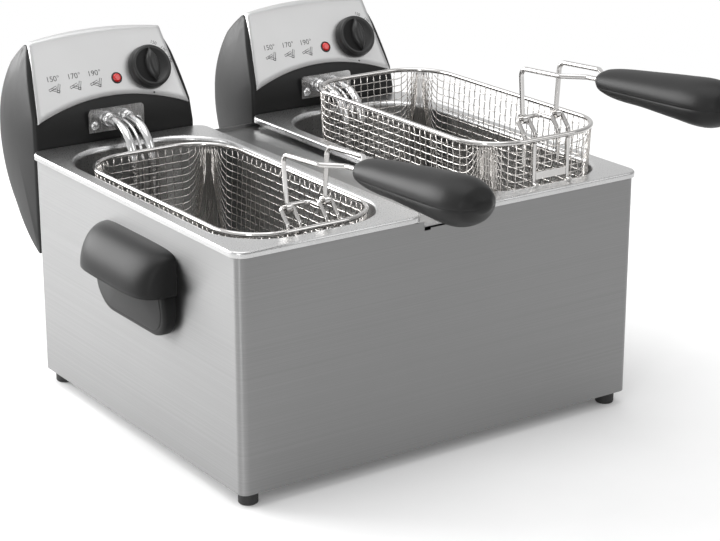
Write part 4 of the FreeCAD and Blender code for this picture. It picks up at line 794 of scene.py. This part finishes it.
def hood_grid(shrink):
    """Points of a hood's outer face, or of its inner face where it is shrunk."""
    half, reach, drop = HOOD_HALF - shrink, HOOD_REACH - shrink, HOOD_TOP - HOOD_LIP - shrink
    grid = []
    for step in range(HOOD_COLUMNS + 1):
        bend = -RIGHT_ANGLE + math.pi * step / HOOD_COLUMNS
        across = math.copysign(abs(math.sin(bend))**(2 / HOOD_SQUARE), bend)
        swell = abs(math.cos(bend))**(2 / HOOD_SQUARE)
        row = []
        for level in range(HOOD_ROWS + 1):
            angle = RIGHT_ANGLE * level / HOOD_ROWS
            out = reach * swell * math.sin(angle)**HOOD_SWELL
            height = HOOD_LIP + drop * (1 - HOOD_DROP * (1 - swell)) * math.cos(angle)
            row.append(Vector((out, half * across, height)))
        grid.append(row)
    return grid


def hood(builder):
    """A hand hood: an outer and an inner face, joined along the lip."""
    faces = []
    for shrink in (0.0, HOOD_WALL):
        rows = [[builder.verts.new(point) for point in row] for row in hood_grid(shrink)]
        skin(builder, rows, False)
        faces.append(rows)
    lips = [[row[-1] for row in rows] for rows in faces]
    skin(builder, lips, False)


def pad_outline(inset):
    """Half the outline of the pad under a hood, from the middle of its foot up its side: place and height."""
    half, low, corner = PAD_HALF - inset, PAD_LOW + inset, PAD_CORNER - inset
    outline = [(0.0, low), (half - corner, low)]
    for step in range(1, PAD_CORNER_STEPS + 1):
        angle = RIGHT_ANGLE * step / PAD_CORNER_STEPS
        outline.append((half - corner * (1 - math.sin(angle)), low + corner * (1 - math.cos(angle))))
    return outline + [(half, PAD_TOP - inset), (0.0, PAD_TOP - inset)]


def pad_loop(inset, share, lift):
    """A whole outline of the pad, in from its edge, at a share of the way out to its sloping face."""
    half_outline = pad_outline(inset)
    mirrored = [(-place, height) for place, height in half_outline[-2:0:-1]]
    loop = []
    for place, height in half_outline + mirrored:
        climb = (height - PAD_LOW) / (PAD_TOP - PAD_LOW)
        reach = PAD_FOOT_REACH + (PAD_REACH - PAD_FOOT_REACH) * climb
        loop.append(Vector((reach * share + lift, place, height)))
    return loop


def pad(builder, steps):
    """A plate with a rounded edge, from loops of the pad's outline."""
    loops = [[builder.verts.new(point) for point in pad_loop(*step)] for step in steps]
    skin(builder, loops, True)
    builder.faces.new(loops[-1])


def on_case(builder, side):
    """Move a form that was drawn outwards from a wall onto one side of the case."""
    sign = -1 if side == "left" else 1
    for vertex in builder.verts:
        out, place, height = vertex.co
        vertex.co = (sign * (CASE_HALF + out), HOOD_Y + place, height)


def side_handle(side):
    """One carry handle: a hood that the fingers go under, and a pad below it with a plain insert."""
    shell, insert = bmesh.new(), bmesh.new()
    hood(shell)
    pad(shell, PAD_LOOPS)
    pad(insert, INSERT_LOOPS)
    for builder in (shell, insert):
        on_case(builder, side)
    add_piece(f"hand_hood_{side}", shell, HANDLE, "base", "handle_plastic", f"side_handle_{side}")
    add_piece(f"hood_panel_{side}", insert, INSERT, "base", "insert_plastic", f"handle_insert_{side}")


# Basket grips

PIVOT_Y = -133.2
LINE_Z, LINE_TILT = 267.1, math.radians(3.5)
GRIP_START, GRIP_LENGTH = 79.0, 142.0
GRIP_HALF_WIDTH, GRIP_HEIGHT = 21.5, 36.0
GRIP_PARTING = 5.0
GRIP_GROOVE = 0.5
GRIP_STEPS, GRIP_RING_STEPS = 6, 20

# Sections as shares of the grip's length, half width, and height above and below the wire's line.
GRIP_SECTIONS = (
    (0.0, 0.48, 0.15, 0.2),
    (0.04, 0.64, 0.21, 0.31),
    (0.16, 0.74, 0.27, 0.41),
    (0.36, 0.85, 0.32, 0.45),
    (0.62, 0.97, 0.38, 0.54),
    (0.84, 1.0, 0.4, 0.6),
    (0.95, 0.76, 0.27, 0.47),
    (1.0, 0.4, 0.08, 0.24),
)

# The rounded tip beyond the last section: how far past it, and how large against it.
GRIP_TIP = ((0.006, 0.85), (0.010, 0.6), (0.012, 0.3))


def hermite(first, second, start, end, share):
    """A cubic from one value to the next with a slope at each."""
    square, cube = share**2, share**3
    return (first * (2 * cube - 3 * square + 1) + start * (cube - 2 * square + share)
            + second * (3 * square - 2 * cube) + end * (cube - square))


def smooth_sections():
    """The grip's sections, with a smooth curve through each of their numbers."""
    sections = []
    last = len(GRIP_SECTIONS) - 1
    for number in range(last):
        before, first = GRIP_SECTIONS[max(number - 1, 0)], GRIP_SECTIONS[number]
        second, after = GRIP_SECTIONS[number + 1], GRIP_SECTIONS[min(number + 2, last)]
        width = second[0] - first[0]
        for step in range(GRIP_STEPS):
            share = step / GRIP_STEPS
            values = [first[0] + width * share]
            for kind in (1, 2, 3):
                start = (second[kind] - before[kind]) / (second[0] - before[0]) * width
                end = (after[kind] - first[kind]) / (after[0] - first[0]) * width
                values.append(hermite(first[kind], second[kind], start, end, share))
            sections.append(values)
    return sections + [GRIP_SECTIONS[last]]


def grip_ring(wide, above, below):
    """A section of the grip about the wire's line, with a groove where its shells meet: across and height."""
    half, tall = wide * GRIP_HALF_WIDTH, GRIP_HEIGHT * (above + below) / 2
    middle = GRIP_HEIGHT * (above - below) / 2
    seam = math.asin((-GRIP_PARTING - middle) / tall)
    nick = GRIP_GROOVE / half
    ring = []
    for start, end in ((seam, math.pi - seam), (math.pi - seam, math.tau + seam)):
        ring.append(((half - GRIP_GROOVE) * math.cos(start), middle + tall * math.sin(start)))
        for step in range(GRIP_RING_STEPS + 1):
            angle = start + nick + (end - start - 2 * nick) * step / GRIP_RING_STEPS
            ring.append((half * math.cos(angle), middle + tall * math.sin(angle)))
    return ring


def grip_shells(side):
    """The two shells of one basket handle's grip."""
    builder = bmesh.new()
    sections = [(*section, 1.0) for section in smooth_sections()]
    tip = GRIP_SECTIONS[-1]
    sections += [(tip[0] + ahead, *tip[1:], size) for ahead, size in GRIP_TIP]
    rows = []
    for along, wide, above, below, size in sections:
        ahead = GRIP_START + along * GRIP_LENGTH
        line = Vector((TANK_X[side], BASKET_Y[side] + PIVOT_Y - ahead, BASKET_Z[side] + LINE_Z))
        line.z += ahead * math.tan(LINE_TILT)
        drop = GRIP_HEIGHT * (above - below) / 2 * (1 - size)
        row = []
        for across, height in grip_ring(wide, above, below):
            row.append(builder.verts.new(line + Vector((across * size, 0.0, height * size + drop))))
        rows.append(row)
    skin(builder, rows, True)
    for end in (rows[0], rows[-1]):
        builder.faces.new(end)
    replaced = (f"grip_upper_{side}", f"grip_lower_{side}")
    add_piece(f"grip_shells_{side}", builder, GRIP, f"{side}_basket_handle", "grip_plastic", *replaced)


# Element plates

TUBE_SPACING = 18.0
TUBE_Z = 228.0
PLATE_SETBACK = 173.0
PLATE_Y = CASE_Y + PLATE_SETBACK
COLLAR_PROFILE = ((4.3, 0.0), (6.2, 0.0), (6.4, 0.5), (6.4, 4.6), (6.0, 5.6), (5.2, 6.6), (4.3, 6.8))
PLATE_SCREW_X, PLATE_SCREW_Z = 21.5, 223.0
SCREW_RADIUS, SCREW_HEIGHT, SCREW_DOME = 4.0, 2.2, 0.75
SCREW_RINGS = (0.0, 0.1, 0.2, 0.3, 0.42, 0.5, 0.58, 0.64, 0.8, 0.92, 0.98, 1.0)
RECESS_REACH, RECESS_HALF, RECESS_DEPTH = 0.6, 0.13, 0.9


def plate_point(side, across, height):
    """A place on an element plate, with Z out of its front."""
    foot = Vector((TANK_X[side] + across, PLATE_Y, height))
    return Matrix.Translation(foot) @ Matrix.Rotation(RIGHT_ANGLE, 4, "X")


def screw_height(share, across, up):
    """How high a screw's head is at a share of its radius, with a cross-shaped recess in its dome."""
    height = SCREW_HEIGHT * (1 - SCREW_DOME * share**3)
    if share < RECESS_REACH and min(abs(across), abs(up)) < RECESS_HALF:
        height -= RECESS_DEPTH
    return height


def cross_screw(builder, place):
    """A domed screw head with a cross-shaped recess."""
    turns = [math.tau * step / TURN_STEPS for step in range(TURN_STEPS)]
    rows = []
    for share in SCREW_RINGS:
        row = []
        for turn in turns if share else turns[:1]:
            across, up = share * math.cos(turn), share * math.sin(turn)
            point = Vector((SCREW_RADIUS * across, SCREW_RADIUS * up, screw_height(share, across, up)))
            row.append(builder.verts.new(place @ point))
        rows.append(row)
    foot = [Vector((SCREW_RADIUS * math.cos(turn), SCREW_RADIUS * math.sin(turn), 0.0)) for turn in turns]
    rows.append([builder.verts.new(place @ point) for point in foot])
    skin(builder, rows, True)


def plate_fittings(side):
    """The tube collars and the screw heads on one element plate."""
    collars, screws = bmesh.new(), bmesh.new()
    for sign in (-1, 1):
        lathe(collars, COLLAR_PROFILE, plate_point(side, sign * TUBE_SPACING / 2, TUBE_Z))
        cross_screw(screws, plate_point(side, sign * PLATE_SCREW_X, PLATE_SCREW_Z))
    add_piece(f"tube_collars_{side}", collars, ELEMENT, f"{side}_head", "element_tube")
    add_piece(f"cross_screws_{side}", screws, SCREW, f"{side}_head", "screw_steel", f"element_screws_{side}")


for side in SIDES:
    head_shell(side)
    front_plate(side)
    panel_print(side)
    dial_knob(side)
    lamp_ring(side)
    plate_fittings(side)
    side_handle(side)
    grip_shells(side)


# Floor, light and camera

# Places are in metres, the camera's angles in radians, and its lens and sensor in millimetres.
FLOOR_HALF, FLOOR_CELLS = 6.0, 8
FADE_DISTANCE, FADE_WHITE = (0.50, 1.4), (0.08, 1.0)
STUDIO_BACK = (-0.35, 0.80, 0.48)
STUDIO_FACING, STUDIO_LEVEL = (-0.6, 0.8), (0.40, 0.95)
CAMERA_PLACE = (-0.9391, -1.3557, 0.6846)
CAMERA_YAW, CAMERA_PITCH = 0.6029, 0.3263
CAMERA_LENS, CAMERA_SENSOR = 103.11, 36.0
CAMERA_REACH = 50.0

# Each lamp's name, place, what it points at, its width and height, and its power in watts.
LAMPS = (
    ("key", (-1.1, 1.6, 0.8), (-0.1, 0.0, 0.15), (1.6, 1.2), 52.0),
    ("top", (-0.2, 0.2, 2.2), (0.0, 0.0, 0.1), (1.8, 1.8), 22.0),
    ("fill", (1.2, -1.7, 1.6), (0.0, 0.0, 0.25), (1.2, 1.2), 8.0),
    ("edge", (-1.7, -1.25, 0.7), (-0.19, -0.11, 0.12), (0.3, 1.4), 8.0),
)


def worked_out(tree, operation, first, second):
    """The result of a math operation on two values."""
    node = tree.nodes.new("ShaderNodeMath")
    node.operation = operation
    tree.links.new(first, node.inputs[0])
    tree.links.new(second, node.inputs[1])
    return node.outputs["Value"]


def seen(tree):
    """1 where a ray comes from the camera, a mirror or glass, and 0 where it comes off matt things."""
    path = tree.nodes.new("ShaderNodeLightPath")
    total = path.outputs["Is Camera Ray"]
    for name in ("Is Glossy Ray", "Is Transmission Ray"):
        total = worked_out(tree, "MAXIMUM", total, path.outputs[name])
    return total


def add_floor():
    """A white floor that keeps the shadow near the object and runs into the background further out."""
    builder = bmesh.new()
    bmesh.ops.create_grid(builder, x_segments=FLOOR_CELLS, y_segments=FLOOR_CELLS, size=FLOOR_HALF)
    floor = bpy.data.objects.new("floor", finished_mesh("floor", builder))
    bpy.context.scene.collection.objects.link(floor)
    material = surface("floor_white", grey(0.88), grey(0.90), (0.8, 0.9), even(40), gloss=0.0)
    tree = material.node_tree
    place = tree.nodes.new("ShaderNodeTexCoord")
    distance = tree.nodes.new("ShaderNodeVectorMath")
    distance.operation = "LENGTH"
    tree.links.new(place.outputs["Object"], distance.inputs[0])
    fade = map_range(tree, distance.outputs["Value"], FADE_DISTANCE, FADE_WHITE)
    fade.interpolation_type = "SMOOTHSTEP"
    share = worked_out(tree, "MULTIPLY", fade.outputs["Result"], seen(tree))
    white = tree.nodes.new("ShaderNodeEmission")
    mix = tree.nodes.new("ShaderNodeMixShader")
    tree.links.new(share, mix.inputs["Fac"])
    tree.links.new(tree.nodes["Principled BSDF"].outputs["BSDF"], mix.inputs[1])
    tree.links.new(white.outputs["Emission"], mix.inputs[2])
    tree.links.new(mix.outputs["Shader"], tree.nodes["Material Output"].inputs["Surface"])
    paint(floor, material)


def add_world():
    """A soft studio, lighter at the back than at the front."""
    world = bpy.data.worlds.new("studio")
    world.use_nodes = True
    tree = world.node_tree
    place = tree.nodes.new("ShaderNodeTexCoord")
    towards = tree.nodes.new("ShaderNodeVectorMath")
    towards.operation = "DOT_PRODUCT"
    towards.inputs[1].default_value = STUDIO_BACK
    tree.links.new(place.outputs["Generated"], towards.inputs[0])
    level = map_range(tree, towards.outputs["Value"], STUDIO_FACING, STUDIO_LEVEL)
    background = tree.nodes["Background"]
    background.inputs["Color"].default_value = (1.0, 1.0, 1.0, 1.0)
    tree.links.new(level.outputs["Result"], background.inputs["Strength"])
    bpy.context.scene.world = world


def add_light(name, place, target, size, power):
    """A rectangular soft lamp that points at a target."""
    light = bpy.data.lights.new(name, "AREA")
    light.shape = "RECTANGLE"
    light.size, light.size_y = size
    light.energy = power
    lamp = bpy.data.objects.new(name, light)
    lamp.location = place
    lamp.rotation_euler = (Vector(target) - Vector(place)).to_track_quat("-Z", "Y").to_euler()
    bpy.context.scene.collection.objects.link(lamp)


def add_camera():
    """The camera that was fitted to the photograph."""
    camera = bpy.data.cameras.new("camera")
    camera.sensor_width = CAMERA_SENSOR
    camera.sensor_fit = "HORIZONTAL"
    camera.lens = CAMERA_LENS
    camera.clip_end = CAMERA_REACH
    viewer = bpy.data.objects.new("camera", camera)
    viewer.location = CAMERA_PLACE
    viewer.rotation_euler = (RIGHT_ANGLE - CAMERA_PITCH, 0.0, -CAMERA_YAW)
    bpy.context.scene.collection.objects.link(viewer)
    bpy.context.scene.camera = viewer


add_floor()
add_world()
for lamp in LAMPS:
    add_light(*lamp)
add_camera()
bpy.context.scene.view_settings.view_transform = "Standard"
